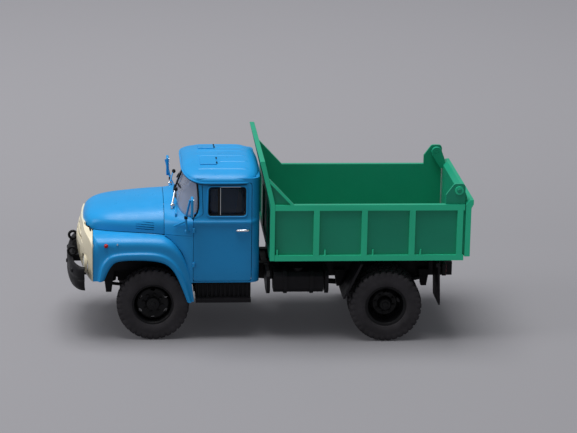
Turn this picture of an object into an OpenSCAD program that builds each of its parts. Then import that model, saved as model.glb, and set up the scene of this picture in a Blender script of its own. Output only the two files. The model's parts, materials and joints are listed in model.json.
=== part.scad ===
// Scale model of a bonneted two-axle dump truck, standing on its wheels.
// The vehicle looks along +X, its left side is +Y, up is +Z, and z = 0 is the floor.
// Side profiles are lists of [x, z], cross sections are lists of [y, z] and plans are lists of [x, y].
// Places in the front group are measured from the front axle, and all others from the rear axle.

/* [Layout] */
// Distance between the axles
wheelbase = 76.7; // [74:0.1:90]
// From the front axle to the front of the bumper
front_overhang = 28.5; // [27.5:0.1:32]
// From the rear axle to the rear of the tailgate bar
rear_overhang = 27.7; // [27.2:0.1:32]

/* [Wheels] */
// Diameter over the lugs of a tyre
tyre_d = 24; // [22:0.1:25]
// Width of one tyre
tyre_w = 6; // [4.5:0.1:6.5]
// Diameter of the tyre's bead seat on the rim
bead_d = 14; // [12:0.1:15]
// Height of a tread lug above the groove
lug_h = 0.7; // [0.4:0.05:1]
// Number of lugs on each shoulder of a tyre
lug_count = 20; // [12:1:26]
// Centre of a front wheel from the middle of the vehicle
front_track_half = 20.8; // [20:0.1:22]
// Centre of an inner rear wheel from the middle of the vehicle
rear_inner_half = 17.3; // [17:0.1:19]
// Distance between the two tyres of a twin wheel
twin_pitch = 7; // [6.7:0.1:7.5]
// Diameter of the steel axle rods
rod_d = 1.8; // [1.4:0.1:2.2]
// Running clearance on the radius of an axle rod
rod_clear = 0.06; // [0.02:0.01:0.1]

/* [Chassis frame] */
// Width over the frame rails
frame_w = 19.6; // [18:0.1:20]
// Underside of the frame rails
frame_z = 17.6; // [16.5:0.1:18]
// Height of the frame rails
frame_h = 4.6; // [4:0.1:5]
// Width of a frame rail's flanges
flange_w = 2.6; // [2:0.1:3]
// Wall of the frame rails
frame_t = 0.8; // [0.6:0.05:1.2]
// Height of the tipper subframe that lies on the rails
subframe_h = 2.8; // [2.4:0.1:3.2]
// Bore of the two display screws in the frame's underside
screw_bore_d = 2; // [1.6:0.1:2.4]
// Depth of the display screws' bores
screw_depth = 7; // [5:0.1:8]

/* [Cab] */
// Width over the doors
cab_w = 47.6; // [46:0.1:49]
// Underside of the cab's sills
sill_z = 19.6; // [19:0.1:20]
// From the front axle back to the cab's rear wall
cab_back = 34.8; // [34:0.1:35.5]
// Top of the roof
roof_z = 60.8; // [60:0.1:61.5]
// Height of the roof over the rain gutter
roof_rise = 6.4; // [6:0.1:7]
// Height of the hood where it meets the cowl
hood_z = 45.6; // [45:0.1:46]
// Width of the hood at the cowl
hood_w = 39.6; // [39:0.1:40]
// Thickness of the cab walls and doors
cab_t = 1.4; // [1:0.1:1.8]
// Thickness of the glass
glass_t = 0.7; // [0.5:0.05:0.9]
// Fitting gap between neighbouring panels
seam = 0.12; // [0.06:0.01:0.2]
// Width over the front fenders
fender_w = 51; // [50:0.1:52]
// Thickness of hood, fender and grille sheet
sheet_t = 1; // [0.7:0.05:1.2]

/* [Dump bed] */
// Width of the bed
bed_w = 56.8; // [56:0.1:60]
// Underside of the bed floor
bed_z = 28.2; // [28:0.1:29]
// Height of the bed sides from underside of the floor to the top rail
bed_side_h = 18.9; // [16:0.1:20]
// Gap between the cab's rear wall and the bed
bed_gap = 3.1; // [3:0.1:5]
// Rear end of the bed sides behind the rear axle
bed_rear_x = 24.9; // [24:0.1:24.9]
// Thickness of the bed floor
bed_floor_t = 1.4; // [1:0.1:2]
// Thickness of the bed's panels
bed_t = 1; // [0.8:0.05:1.2]
// How far rails and ribs stand out from the side panels
rib_out = 0.8; // [0.5:0.05:1]
// Width of the ribs and rails
rib_w = 1.9; // [1.4:0.1:2.4]
// Top of the leaning front wall
headboard_z = 61.84; // [58:0.02:64]
// How far the top of the front wall leans forward
headboard_lean = 3.6; // [2:0.1:3.8]
// Height of the bed's hinge above the floor
hinge_z = 24.6; // [24.4:0.1:24.8]
// Place of the bed's hinge behind the rear axle
hinge_back = 20; // [19.5:0.1:21]
// Diameter of the bed's hinge pin
hinge_pin_d = 1.6; // [1.2:0.1:1.8]
// Place of the tailgate's pins behind the rear axle
gate_pin_back = 22.9; // [22.5:0.1:23]
// Height of the tailgate's pins above the floor
gate_pin_z = 51.7; // [51:0.1:52]
// Diameter of the tailgate's pins
gate_pin_d = 1.4; // [1:0.1:1.6]
// Running clearance on the radius of the hinge pins
pin_clear = 0.06; // [0.02:0.01:0.1]

/* [Hidden] */

eps = 0.01;
cut = 0.5;
$fn = 48;

// Main places
rear_axle_x = (rear_overhang - front_overhang - wheelbase) / 2;
front_axle_x = rear_axle_x + wheelbase;
axle_z = tyre_d / 2;
frame_half = frame_w / 2;
frame_top = frame_z + frame_h;
subframe_top = frame_top + subframe_h;
bed_half = bed_w / 2;
bed_front_x = wheelbase - cab_back - bed_gap;
bed_inner = bed_half - rib_out - bed_t;
bed_top = bed_z + bed_side_h;
bed_floor_top = bed_z + bed_floor_t;
cab_half = cab_w / 2;
gutter_z = roof_z - roof_rise;
fender_half = fender_w / 2;
hood_half = hood_w / 2;
tyre_r = tyre_d / 2;
bead_r = bead_d / 2;
rod_r = rod_d / 2;
screw_r = screw_bore_d / 2;
hinge_r = hinge_pin_d / 2;
gate_pin_r = gate_pin_d / 2;

// Frame ends behind the rear axle and ahead of the front axle
frame_rear = -24.2;
frame_front = 19;

// Places in the two groups
module at_rear() translate([rear_axle_x, 0, 0]) children();
module at_front() translate([front_axle_x, 0, 0]) children();
module both_sides() {
    children();
    mirror([0, 1, 0]) children();
}

// Extrudes a side profile across the vehicle, a cross section along it, or a plan upwards
module across(y0, y1) translate([0, y1, 0]) rotate([90, 0, 0]) linear_extrude(y1 - y0) children();
module along(x0, x1) translate([x0, 0, 0]) rotate([90, 0, 90]) linear_extrude(x1 - x0) children();
module upward(z0, z1) translate([0, 0, z0]) linear_extrude(z1 - z0) children();
module block(lo, hi) translate(lo) cube(hi - lo);
module rod_across(r, y0, y1) translate([0, y1, 0]) rotate([90, 0, 0]) cylinder(r = r, h = y1 - y0);
module rod_along(r, x0, x1) translate([x0, 0, 0]) rotate([0, 90, 0]) cylinder(r = r, h = x1 - x0);

// A cross section's half outline closed by its mirror image, and the same for a plan
function mirrored(half) = concat(half, [for (i = [len(half) - 1:-1:0]) [-half[i][0], half[i][1]]]);
function plan_mirrored(half) = concat(half, [for (i = [len(half) - 1:-1:0]) [half[i][0], -half[i][1]]]);
function reversed(points) = [for (i = [len(points) - 1:-1:0]) points[i]];

// An outline with straight sides and a bowed top that runs into them by round shoulders
module crowned(half, shoulder_r, crown_r, top, bottom) {
    crown_y = top - crown_r;
    shoulder_x = half - shoulder_r;
    shoulder_y = crown_y + sqrt(pow(crown_r - shoulder_r, 2) - pow(shoulder_x, 2));
    meet_x = shoulder_x * crown_r / (crown_r - shoulder_r);
    intersection() {
        translate([0, crown_y]) circle(r = crown_r, $fn = 240);
        translate([-meet_x, bottom]) square([2 * meet_x, top - bottom + cut]);
    }
    for (s = [-1, 1]) translate([s * shoulder_x, shoulder_y]) circle(r = shoulder_r);
    translate([-half, bottom]) square([2 * half, shoulder_y - bottom]);
}

// The same as a plan whose bowed end looks ahead or back
module bowed_ahead(half, shoulder_r, crown_r, ahead, length) rotate(-90)
    crowned(half, shoulder_r, crown_r, ahead, ahead - length);
module bowed_back(half, shoulder_r, crown_r, back, length) rotate(90)
    crowned(half, shoulder_r, crown_r, back, back - length);

module rounded_rect(x0, z0, x1, z1, r) {
    translate([x0 + r, z0]) square([x1 - x0 - 2 * r, z1 - z0]);
    translate([x0, z0 + r]) square([x1 - x0, z1 - z0 - 2 * r]);
    for (x = [x0 + r, x1 - r], z = [z0 + r, z1 - r]) translate([x, z]) circle(r = r, $fn = 32);
}

// A round bar from one point to another, with thicker ball ends
module bar(from, to, r) {
    way = to - from;
    for (end = [from, to]) translate(end) sphere(r = 1.25 * r, $fn = 24);
    translate(from) rotate([0, acos(way[2] / norm(way)), atan2(way[1], way[0])])
        cylinder(r = r, h = norm(way), $fn = 24);
}

// Chassis frame

crossmember_w = 2;
screw_boss_r = screw_r + 1.6;
screw_rear_x = -13;
screw_front_x = wheelbase + 14.6;

module rail_section() {
    difference() {
        translate([frame_half - flange_w, frame_z]) square([flange_w, frame_h]);
        translate([frame_half - flange_w - cut, frame_z + frame_t])
            square([flange_w - frame_t + cut, frame_h - 2 * frame_t]);
    }
}

module frame() color("dimgray") at_rear() {
    difference() {
        union() {
            both_sides() along(frame_rear, wheelbase + frame_front) rail_section();
            for (x = [frame_rear, screw_rear_x - crossmember_w / 2, hoist_x0 - 6, bed_front_x - 0.8,
                      screw_front_x - crossmember_w / 2, wheelbase + frame_front - crossmember_w])
                block([x, -frame_half + frame_t / 2, frame_z + frame_t / 2],
                      [x + crossmember_w, frame_half - frame_t / 2, frame_top - frame_t / 2]);
            for (x = [screw_rear_x, screw_front_x])
                translate([x, 0, frame_top - frame_t / 2 - screw_depth - 1])
                    cylinder(r = screw_boss_r, h = screw_depth + 1);
        }
        for (x = [screw_rear_x, screw_front_x])
            translate([x, 0, frame_top - frame_t / 2 - screw_depth - 1 - cut])
                cylinder(r = screw_r, h = screw_depth + cut);
    }
}

// Tipper subframe with the rear hinge lugs

lug_t = 1.4;
lug_gap = 0.2;
hinge_lug_r = 1.9;
sill_half = frame_half - 0.2;
sill_w = 2.2;
subframe_front = bed_front_x - 1.8;
hoist_x0 = subframe_front - 18;

module subframe() color("dimgray") at_rear() difference() {
    union() {
        both_sides() {
            block([-hinge_back + 2.4, sill_half - sill_w, frame_top], [subframe_front, sill_half, subframe_top]);
            across(frame_half, frame_half + lug_t) polygon([
                [-hinge_back - hinge_lug_r, frame_z + 1], [-hinge_back + 4, frame_z + 1],
                [-hinge_back + 4, subframe_top], [-hinge_back, hinge_z + hinge_lug_r],
                [-hinge_back - hinge_lug_r, hinge_z]
            ]);
            translate([-hinge_back, 0, hinge_z]) rod_across(hinge_lug_r, frame_half, frame_half + lug_t);
        }
        block([-hinge_back + 2.4, -frame_half - lug_t / 2, frame_top],
              [-hinge_back + 3.9, frame_half + lug_t / 2, subframe_top]);
        for (x = [8, subframe_front - 2])
            block([x, -sill_half + eps, frame_top], [x + 2, sill_half - eps, subframe_top - 0.4]);
    }
    translate([-hinge_back, 0, hinge_z]) rod_across(hinge_r, -frame_half - lug_t - cut, frame_half + lug_t + cut);
}

module bed_hinge_pin() color("silver") at_rear() translate([-hinge_back, 0, hinge_z])
    rod_across(hinge_r, -frame_half - lug_t, frame_half + lug_t);

// Bumper, swept back towards its ends, with its two brackets

bumper_half = 24.5;
bumper_z0 = 17;
bumper_z1 = 25;
bumper_t = 1.6;
bumper_front = front_overhang;
bumper_end = bumper_front - 5.8;
// The groove pressed along the bumper's face
groove_z = 20.7;
groove_w = 0.9;
groove_depth = 0.35;

module bumper_plan(inset) intersection() {
    bowed_ahead(bumper_half - inset / 4, 5, 90, bumper_front - inset, 20);
    translate([bumper_end, -bumper_half]) square([bumper_front, 2 * bumper_half]);
}

module front_bumper() color("dimgray") at_front() {
    difference() {
        union() {
            upward(bumper_z0, groove_z) bumper_plan(0);
            upward(groove_z - eps, groove_z + groove_w + eps) bumper_plan(groove_depth);
            upward(groove_z + groove_w, bumper_z1) bumper_plan(0);
        }
        upward(bumper_z0 - cut, bumper_z1 + cut) translate([-cut, 0]) bumper_plan(bumper_t - cut);
        across(-bumper_half - cut, bumper_half + cut) polygon([
            [bumper_front - 3.2, bumper_z0 - cut], [bumper_front + cut, bumper_z0 - cut],
            [bumper_front + cut, bumper_z0 + 3]
        ]);
    }
    both_sides() {
        block([frame_front, frame_half - 2.4, frame_z + 0.6],
              [bumper_front - bumper_t + 0.2, frame_half - 0.9, frame_z + 2.6]);
        translate([bumper_front - 0.5, frame_half - 1.6, bumper_z1 - 2]) rod_along(0.8, -0.8, 0.4);
    }
}

module tow_hooks() color("dimgray") at_front() both_sides()
    translate([bumper_front - 1.9, frame_half, bumper_z1 + 1.75]) rotate([90, 0, 0])
        rotate_extrude() translate([1.3, 0]) circle(r = 0.45, $fn = 24);

// Leaf springs: a stack of arched leaves, each shorter than the one above

spring_y = 12.2;
spring_w = 2;
leaf_t = 0.5;
// Room left between a spring and the axle that it rests on
spring_seat = 0.05;

module leaf_stack(half_length, arch, leaves, top_z) {
    leaf_r = (half_length * half_length + arch * arch) / (2 * arch);
    for (i = [0:leaves - 1])
        intersection() {
            translate([0, 0, top_z - arch + leaf_r]) difference() {
                rod_across(leaf_r + leaf_t * (i + 1) + eps, spring_y - spring_w / 2, spring_y + spring_w / 2);
                rod_across(leaf_r + leaf_t * i, spring_y - spring_w, spring_y + spring_w);
            }
            translate([-half_length * (1 - i / leaves), 0, 0])
                cube([2 * half_length * (1 - i / leaves), spring_y * 2, top_z + 4]);
        }
}

module spring_hanger(x, low) difference() {
    across(frame_half, spring_y + spring_w / 2) polygon([
        [x - 1.8, frame_z + 3], [x + 1.8, frame_z + 3], [x + 0.9, low], [x - 0.9, low]
    ]);
    block([x - 3, frame_half - cut, low - cut], [x + 3, spring_y - spring_w / 2 - 0.4, frame_z - 1]);
}

front_leaf_half = 14.5;
rear_leaf_half = 14.2;
front_arch = 1;
rear_arch = 1.2;
front_leaves = 4;
rear_leaves = 6;
beam_half_h = 1.5;
housing_r = 2.1;

module front_springs() color("dimgray") at_front() both_sides() {
    leaf_stack(front_leaf_half, front_arch, front_leaves,
               axle_z + beam_half_h + spring_seat + leaf_t * front_leaves + front_arch);
    for (x = [-front_leaf_half, front_leaf_half]) spring_hanger(x, 13.4);
}

module rear_springs() color("dimgray") at_rear() both_sides() {
    leaf_stack(rear_leaf_half, rear_arch, rear_leaves,
               axle_z + housing_r + spring_seat + leaf_t * rear_leaves + rear_arch);
    for (x = [-rear_leaf_half, rear_leaf_half]) spring_hanger(x, 15);
}

// Axles that carry the wheel rods

module front_axle_beam() color("dimgray") at_front() difference() {
    translate([0, 0, axle_z]) {
        along(-1.5, 1.5) polygon(mirrored([
            [8, -beam_half_h - 0.7], [10, -beam_half_h], [15.6, -beam_half_h], [15.6, beam_half_h], [10, beam_half_h], [8, 0.9]
        ]));
        rod_across(beam_half_h, -16.6, 16.6);
    }
    translate([0, 0, axle_z]) rod_across(rod_r + rod_clear, -20, 20);
}

module rear_axle_housing() color("dimgray") at_rear() difference() {
    translate([0, 0, axle_z]) {
        rod_across(housing_r, -13.8, 13.8);
        rotate([90, 0, 0]) rotate_extrude() polygon([
            [0, -5], [2.2, -5], [3.6, -2.4], [4.6, -1.4], [4.6, 1.4], [3.6, 2.4], [2.2, 5], [0, 5]
        ]);
        rod_along(2, 0, 7);
    }
    translate([0, 0, axle_z]) rod_across(rod_r + rod_clear, -20, 20);
}

// Engine with gearbox, propshaft, exhaust

gearbox_rear = -25;

module engine_gearbox() color("dimgray") at_front() difference() {
    union() {
        block([-6.8, -6.6, 15.4], [11.5, 6.6, 34]);
        block([-14, -4.6, 15.8], [-6.8 + eps, 4.6, frame_top]);
        block([gearbox_rear, -3.4, 14.6], [-14 + eps, 3.4, frame_top]);
    }
    translate([0, 0, axle_z]) rod_across(4.4, -8, 8);
}

module propshaft() color("dimgray") at_rear() {
    x0 = 7.1;
    x1 = wheelbase + gearbox_rear - 0.1;
    rise = atan2(15.8 - axle_z, x1 - x0);
    translate([x0, 0, axle_z]) rotate([0, -rise, 0]) {
        rod_along(0.9, 0, (x1 - x0) / cos(rise));
        rod_along(1.5, 0.4, 2.4);
        rod_along(1.5, (x1 - x0) / cos(rise) - 2.4, (x1 - x0) / cos(rise) - 0.4);
    }
}

module exhaust() color("dimgray") at_front() {
    translate([0, -11.8, 15]) {
        rod_along(1.7, -31, -19);
        rod_along(0.7, -45, -19);
    }
    for (x = [-27, -22]) block([x, -12, 15.8], [x + 1, -frame_half, 18.6]);
}

// Tanks at the frame's sides

tank_x0 = tyre_r + 8.7;
tank_x1 = bed_front_x - 1.7;
air_tank_r = 3.1;
air_tank_y = 18;
air_tank_z = 19.4;
air_tank_gap = 1;

module fuel_tank() color("dimgray") at_rear() {
    x0 = tank_x0;
    x1 = tank_x1;
    along(x0, x1) polygon([
        [16.2, 17.6], [17.6, 16.2], [23.4, 16.2], [25, 17.8], [25, 21.9], [23.8, 23.1], [16.2, 23.1]
    ]);
    for (x = [x0 - 1.7, x0 + 0.2 * (x1 - x0), x0 + 0.73 * (x1 - x0), x1 + 1.2])
        along(x, x + 1.2) polygon([
            [frame_half, 18.2], [15.8, 16.6], [17.3, 15.8], [23.6, 15.8], [25.4, 17.6], [25.4, 22.1],
            [24, 23.5], [15.8, 23.5], [frame_half, 22]
        ]);
    translate([(x0 + x1) / 2, 21.8, 23]) {
        cylinder(r = 1.3, h = 1.1);
        translate([0, 0, 0.7]) cylinder(r = 1.7, h = 0.6);
    }
}

module air_tanks() color("dimgray") at_rear() {
    length = (tank_x1 - tank_x0 - air_tank_gap) / 2;
    for (x = [tank_x0, tank_x0 + length + air_tank_gap]) {
        translate([x, -air_tank_y, air_tank_z]) domed_tank(length);
        block([x + 0.3 * length, -air_tank_y - 0.4, air_tank_z - 0.6], [x + 0.3 * length + 1, -frame_half, air_tank_z + 1.2]);
        translate([x + 0.3 * length, -air_tank_y, air_tank_z]) rod_along(air_tank_r + 0.3, 0, 1);
    }
}

// A tank lying along the vehicle with domed ends, as long as given
module domed_tank(length) rotate([0, 90, 0]) rotate_extrude() polygon([
    [0, 0], [air_tank_r - 0.9, 0.03 * length], [air_tank_r, length / 8], [air_tank_r, 7 / 8 * length],
    [air_tank_r - 0.9, 0.97 * length], [0, length]
]);

module tipping_hoist() color("dimgray") at_rear() {
    translate([hoist_x0 + 3, 0, 20.4]) rotate([0, -4, 0]) {
        rod_along(2.7, 0, 11);
        rod_along(1.9, -3, 0.1);
        rod_along(2.95, 1.5, 2.5);
        rod_along(2.95, 8.5, 9.5);
    }
    translate([hoist_x0 + 10, 0, 19.9]) rod_across(1, -frame_half + frame_t, frame_half - frame_t);
}

// Steps under the doors, with a ribbed face

step_x0 = -32.2;
step_x1 = -14;
step_half = 24.4;
step_z0 = 12.9;

module step_left() color("dimgray") at_front() {
    block([step_x0, frame_half + 4, step_z0], [step_x1, step_half, step_z0 + 1.3]);
    block([step_x0, frame_half + 4, step_z0 + 1], [step_x1, step_half - 2.6, sill_z - 0.2]);
    for (i = [0:11])
        block([step_x0 + 0.8 + i * 1.46, step_half - 2.7, step_z0 + 1.2],
              [step_x0 + 1.5 + i * 1.46, step_half - 2.1, sill_z - 0.6]);
    for (x = [step_x0 + 2, step_x1 - 5]) block([x, frame_half, sill_z - 1.6], [x + 2, frame_half + 4.1, sill_z - 0.2]);
}

module step_right() mirror([0, 1, 0]) step_left();

// Guards ahead of the rear wheels, mud flaps and lamps behind them

guard_inner = 14.2;
guard_outer = 27.8;

module rear_guards() color("dimgray") at_rear() both_sides() {
    across(guard_inner, guard_outer) polygon([
        [tyre_r - 4, 26.8], [tyre_r - 3.2, 26.8], [tyre_r + 2.4, 15], [tyre_r + 1.6, 15]
    ]);
    block([tyre_r - 3.8, frame_half, 25.2], [tyre_r - 2.6, guard_inner + 0.1, 26.4]);
}

module mud_flaps() color("dimgray") at_rear() both_sides() {
    across(guard_inner, guard_outer - 0.4) polygon([[-17.4, 26.9], [-16.8, 26.9], [-17.3, 12.6], [-17.9, 12.6]]);
    block([-17.3, frame_half + lug_t, 25.5], [-16.2, guard_outer - 0.4, 26.9]);
}

module tail_lamps() color("firebrick") at_rear() both_sides() {
    block([-20.4, 18, 21], [-19, 22, 25]);
    block([-19, 19.2, 22], [-17.6, 20.8, 24]);
}

// Cab: one outer form, from which walls, doors, roof and glass are all cut

cab_rear = -cab_back;
cab_front = -7.2;
cab_belt_z = sill_z + 0.586 * (gutter_z - sill_z);
door_x0 = cab_rear + 2.6;
door_x1 = -13.1;
door_z0 = sill_z + 0.8;
door_z1 = gutter_z - 1;
pillar_x0 = -16.3;
window_x0 = cab_rear + 4.2;
window_x1 = -17.9;
window_z0 = cab_belt_z + 1.8;
window_z1 = gutter_z - 2.3;
window_r = 1.3;
// Lean and bow of the windshield, and its place at the height of the hood
glass_lean = 20.7;
bow_r = 60;
bow_corner_r = 8.5;
rear_corner_r = 3.2;
tumble_home = 1.4;

// The cab's cross section below the roof, with the ridge along its belt
module cab_section(inset) {
    half = cab_half - inset;
    polygon(mirrored([
        [half, sill_z], [half, cab_belt_z - 1.3], [half + 0.3, cab_belt_z - 0.4], [half + 0.3, cab_belt_z + 0.4],
        [half - 0.2, cab_belt_z + 1.2], [half - tumble_home, gutter_z + cut]
    ]));
}

module cab_front_bow(inset) translate([cab_front - inset, 0, hood_z]) rotate([0, -glass_lean, 0])
    upward(-40, 30) bowed_ahead(cab_half + 0.6 - inset, bow_corner_r, bow_r, 0, 60);

// The lower front of the cab ends at the firewall and along the fender's rear edge
kick_line = [[-12.9, sill_z], [-11.75, 25.6], [-10.1, 29.9], [-6.5, 34.4], [-3.85, 36.3]];

module cab_mass(inset) intersection() {
    along(cab_rear, cab_front + 1) cab_section(inset);
    upward(sill_z - cut, gutter_z + cut)
        bowed_back(cab_half + 0.3 - inset, rear_corner_r, 900, cab_back - inset, cab_back + 5);
    cab_front_bow(inset);
    across(-cab_half - 1, cab_half + 1) polygon(concat([[cab_rear, sill_z], [cab_rear, gutter_z], [cab_front - inset, gutter_z],
        [cab_front - inset, 33.6]], reversed([for (p = [kick_line[0], kick_line[1], kick_line[2]]) [p[0] - inset, p[1]]])));
}

module cab_wall() difference() {
    cab_mass(0);
    cab_mass(cab_t);
}

// The cowl carries the hood's form on to the doors and the foot of the windshield
module cowl_mass(inset) intersection() {
    across(-cab_half, cab_half) polygon(concat(
        [for (p = kick_line) [p[0] - inset / 2, p[1] - inset / 2]],
        [[hood_rear - 0.12 + inset / 10, hood_z + 1], [cab_front, hood_z + 1], [cab_front - 2.2, hood_z - 0.6 - inset],
         [-11.2, cab_belt_z + 2.1 - inset], [door_x1, cab_belt_z + 0.4 - inset]]));
    along(-16, hood_rear) crowned(cab_half - inset, 12 - inset, 60 - inset, hood_z - inset, sill_z);
    upward(sill_z, hood_z + 1) polygon(plan_mirrored([
        [-16, cab_half - inset], [-12.5, cab_half - inset], [-9.5, cab_half - 0.9 - inset],
        [hood_rear, hood_half - inset]
    ]));
}

module cowl_wall() difference() {
    cowl_mass(0);
    cowl_mass(cab_t);
    cab_mass(cab_t / 2);
    block([-20, -cab_half - 1, sill_z - 1], [door_x1 + eps, cab_half + 1, hood_z + 1]);
}

module door_outline(grow) polygon([
    [door_x0 - grow, door_z0 - grow], [door_x1 + grow, door_z0 - grow], [door_x1 + grow, cab_belt_z + 1],
    [pillar_x0 + grow, cab_belt_z + 2.7], [pillar_x0 + 0.4 + grow, door_z1 + grow], [door_x0 - grow, door_z1 + grow]
]);

module window_outline(grow)
    rounded_rect(window_x0 - grow, window_z0 - grow, window_x1 + 0.3 + grow, window_z1 + grow, window_r + grow);

// Side view of the windshield's opening, over the cowl and ahead of the pillar
module windshield_outline(grow) polygon([
    [pillar_x0 + 1.6 - grow, cab_belt_z + 3 - grow], [-11.1, cab_belt_z + 2.9 - grow], [-9.2, hood_z - 0.6 - grow],
    [cab_front, hood_z + 0.6 - grow], [-3, hood_z + 0.6 - grow], [-3, gutter_z - 0.7 + grow],
    [pillar_x0 + 2.1 - grow, gutter_z - 0.7 + grow]
]);

module rear_window_outline(grow)
    rounded_rect(-10.4 - grow, window_z0 + 1.8 - grow, 10.4 + grow, window_z1 + grow, window_r + grow);

cab_floor_z = frame_top + 0.3;
cab_floor_top = cab_floor_z + 1.2;
// Half width of the tunnel that clears frame and springs
tunnel_half = spring_y + spring_w / 2 + 0.3;

module cab_shell() color("steelblue") at_front() difference() {
    intersection() {
        union() {
            cab_wall();
            cowl_wall();
            intersection() {
                cab_mass(cab_t / 2);
                block([cab_rear, -cab_half, cab_floor_z], [cab_front, cab_half, cab_floor_top]);
            }
        }
        block([cab_rear - 1, -cab_half - 1, sill_z], [hood_rear, cab_half + 1, gutter_z]);
    }
    both_sides() across(cab_half - 4, cab_half + 1) door_outline(seam);
    across(-cab_half - cut, cab_half + cut) windshield_outline(0);
    along(cab_rear - cut, cab_rear + 3) rear_window_outline(0);
    block([cab_rear - cut, -tunnel_half, sill_z - cut], [cab_front + cut, tunnel_half, cab_floor_z]);
}

// Roof: a dome with rounded shoulders, pressed ribs and two vents, on a rain gutter
roof_half = cab_half - 0.9;
roof_shoulder_r = 6.2;
roof_front = -10;
roof_mid = (roof_front + cab_rear) / 2;
roof_len_half = (roof_front - cab_rear) / 2;
gutter_w = 0.5;
gutter_h = 0.6;
roof_ribs = [-16.2, -9.7, -3.2, 3.2, 9.7, 16.2];
roof_rib_w = 1.6;
roof_rib_h = 0.25;
vent_y = 10;

module roof_plan(inset) intersection() {
    bowed_ahead(roof_half + 0.3 - inset, 8, bow_r, roof_front - inset, 60);
    bowed_back(roof_half + 0.2 - inset, rear_corner_r + 1, 400, cab_back - inset, 60);
}

module roof_mass(inset) intersection() {
    along(cab_rear, roof_front) crowned(roof_half - inset, roof_shoulder_r, 70, roof_z - inset, gutter_z - 20);
    across(-cab_half, cab_half) translate([roof_mid, 0])
        crowned(roof_len_half - inset, roof_shoulder_r, 60, roof_z - inset, gutter_z - 20);
    upward(gutter_z - 1, roof_z + 1) roof_plan(inset);
}

module cab_roof() color("steelblue") at_front() {
    difference() {
        union() {
            roof_mass(0);
            intersection() {
                roof_mass(-roof_rib_h);
                for (y = roof_ribs)
                    block([cab_rear + 3.5, y - roof_rib_w / 2, roof_z - 4], [roof_front - 4.5, y + roof_rib_w / 2, roof_z + 1]);
            }
            upward(gutter_z, gutter_z + gutter_h) roof_plan(-gutter_w);
            for (y = [-vent_y, vent_y])
                intersection() {
                    roof_mass(-0.5);
                    upward(roof_z - 3, roof_z + 1) translate([0, y]) rounded_rect(-21, -3.1, -15.6, 3.1, 0.5);
                }
        }
        roof_mass(cab_t);
        block([cab_rear - 1, -cab_half - 1, gutter_z - 2], [0, cab_half + 1, gutter_z + eps]);
    }
}

handle_z = cab_belt_z - 2.4;
handle_y = cab_half + 0.55;

module door_panel() difference() {
    union() {
        intersection() {
            cab_wall();
            across(cab_half - 4, cab_half + 1) door_outline(0);
        }
        translate([0, handle_y, handle_z]) rod_along(0.42, door_x0 + 0.7, door_x0 + 4.9);
        for (x = [door_x0 + 1.1, door_x0 + 4.3]) translate([x, 0, handle_z]) rod_across(0.3, cab_half - 0.5, handle_y);
        for (z = [handle_z, handle_z - 11.7])
            translate([door_x1 - 0.6, cab_half, z - 0.8]) cylinder(r = 0.45, h = 1.6);
    }
    across(cab_half - 5, cab_half + 1) window_outline(0);
}

module door_left() color("steelblue") at_front() door_panel();
module door_right() color("steelblue") at_front() mirror([0, 1, 0]) door_panel();

glass_in = 0.35;

module glass_wall() difference() {
    cab_mass(glass_in);
    cab_mass(glass_in + glass_t);
}

module windshield() color("lightblue") at_front() intersection() {
    glass_wall();
    across(-cab_half, cab_half) windshield_outline(-seam / 2);
}

module cab_windows() color("lightblue") at_front() {
    both_sides() intersection() {
        glass_wall();
        across(cab_half - 5, cab_half) window_outline(-seam / 2);
    }
    intersection() {
        glass_wall();
        along(cab_rear - 1, cab_rear + 4) rear_window_outline(-seam / 2);
    }
}

seat_z = cab_floor_top + 7.3;
seat_half = 19;

module seat_bench() color("dimgray") at_front() {
    block([cab_rear + 2.5, -seat_half, cab_floor_top], [cab_rear + 12, seat_half, seat_z]);
    across(-seat_half, seat_half) polygon([
        [cab_rear + 2, seat_z - eps], [cab_rear + 5.6, seat_z - eps], [cab_rear + 4.2, cab_belt_z + 3],
        [cab_rear + 2, cab_belt_z + 3]
    ]);
}

module dashboard() color("dimgray") at_front() intersection() {
    across(-20.5, 20.5) polygon([
        [-14.5, cab_belt_z - 0.5], [-9.2, cab_belt_z + 2.2], [cab_front, cab_belt_z + 2.2],
        [cab_front, cab_belt_z - 6], [-11, cab_belt_z - 6]
    ]);
    cab_mass(cab_t + seam);
}

wheel_rim_r = 3.7;

module steering_wheel() color("black") at_front() translate([-18, 11, cab_belt_z + 1.2]) rotate([0, -50, 0]) {
    rotate_extrude() translate([wheel_rim_r, 0]) circle(r = 0.45, $fn = 24);
    for (a = [0, 120, 240]) rotate([0, 0, a]) translate([0, -0.4, -0.3]) cube([wheel_rim_r, 0.8, 0.6]);
    translate([0, 0, -4.6]) cylinder(r = 0.6, h = 4.8);
}

// Hood, fenders and grille

hood_rear = -3.6;
hood_nose = 22.6;
hood_shoulder_r = 5.5;
nose_r = 5.5;
hood_crown_r = 120;
// The hood is highest just behind its own rear edge
hood_top_x = -6;

module hood_mass(inset) intersection() {
    across(-cab_half, cab_half) translate([hood_top_x, 0])
        crowned(hood_nose - hood_top_x - inset, nose_r - inset / 2, hood_crown_r, hood_z - inset, 29);
    along(hood_rear, hood_nose + 1)
        crowned(hood_half - inset, hood_shoulder_r - inset / 2, bow_r, hood_z + 0.05 - inset, 30);
    upward(28, hood_z + 1) bowed_ahead(hood_half + 0.2 - inset, 12, bow_r, hood_nose - inset / 2, 40);
}

// Underside of the hood's edge, where it meets the fender tops
seam_line = [[hood_rear, 36.2], [5.7, 37], [19, 38]];
louvre_count = 4;
louvre_pitch = 0.75;
louvre_w = 0.3;
louvre_x = [-0.7, 5.3];

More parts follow.
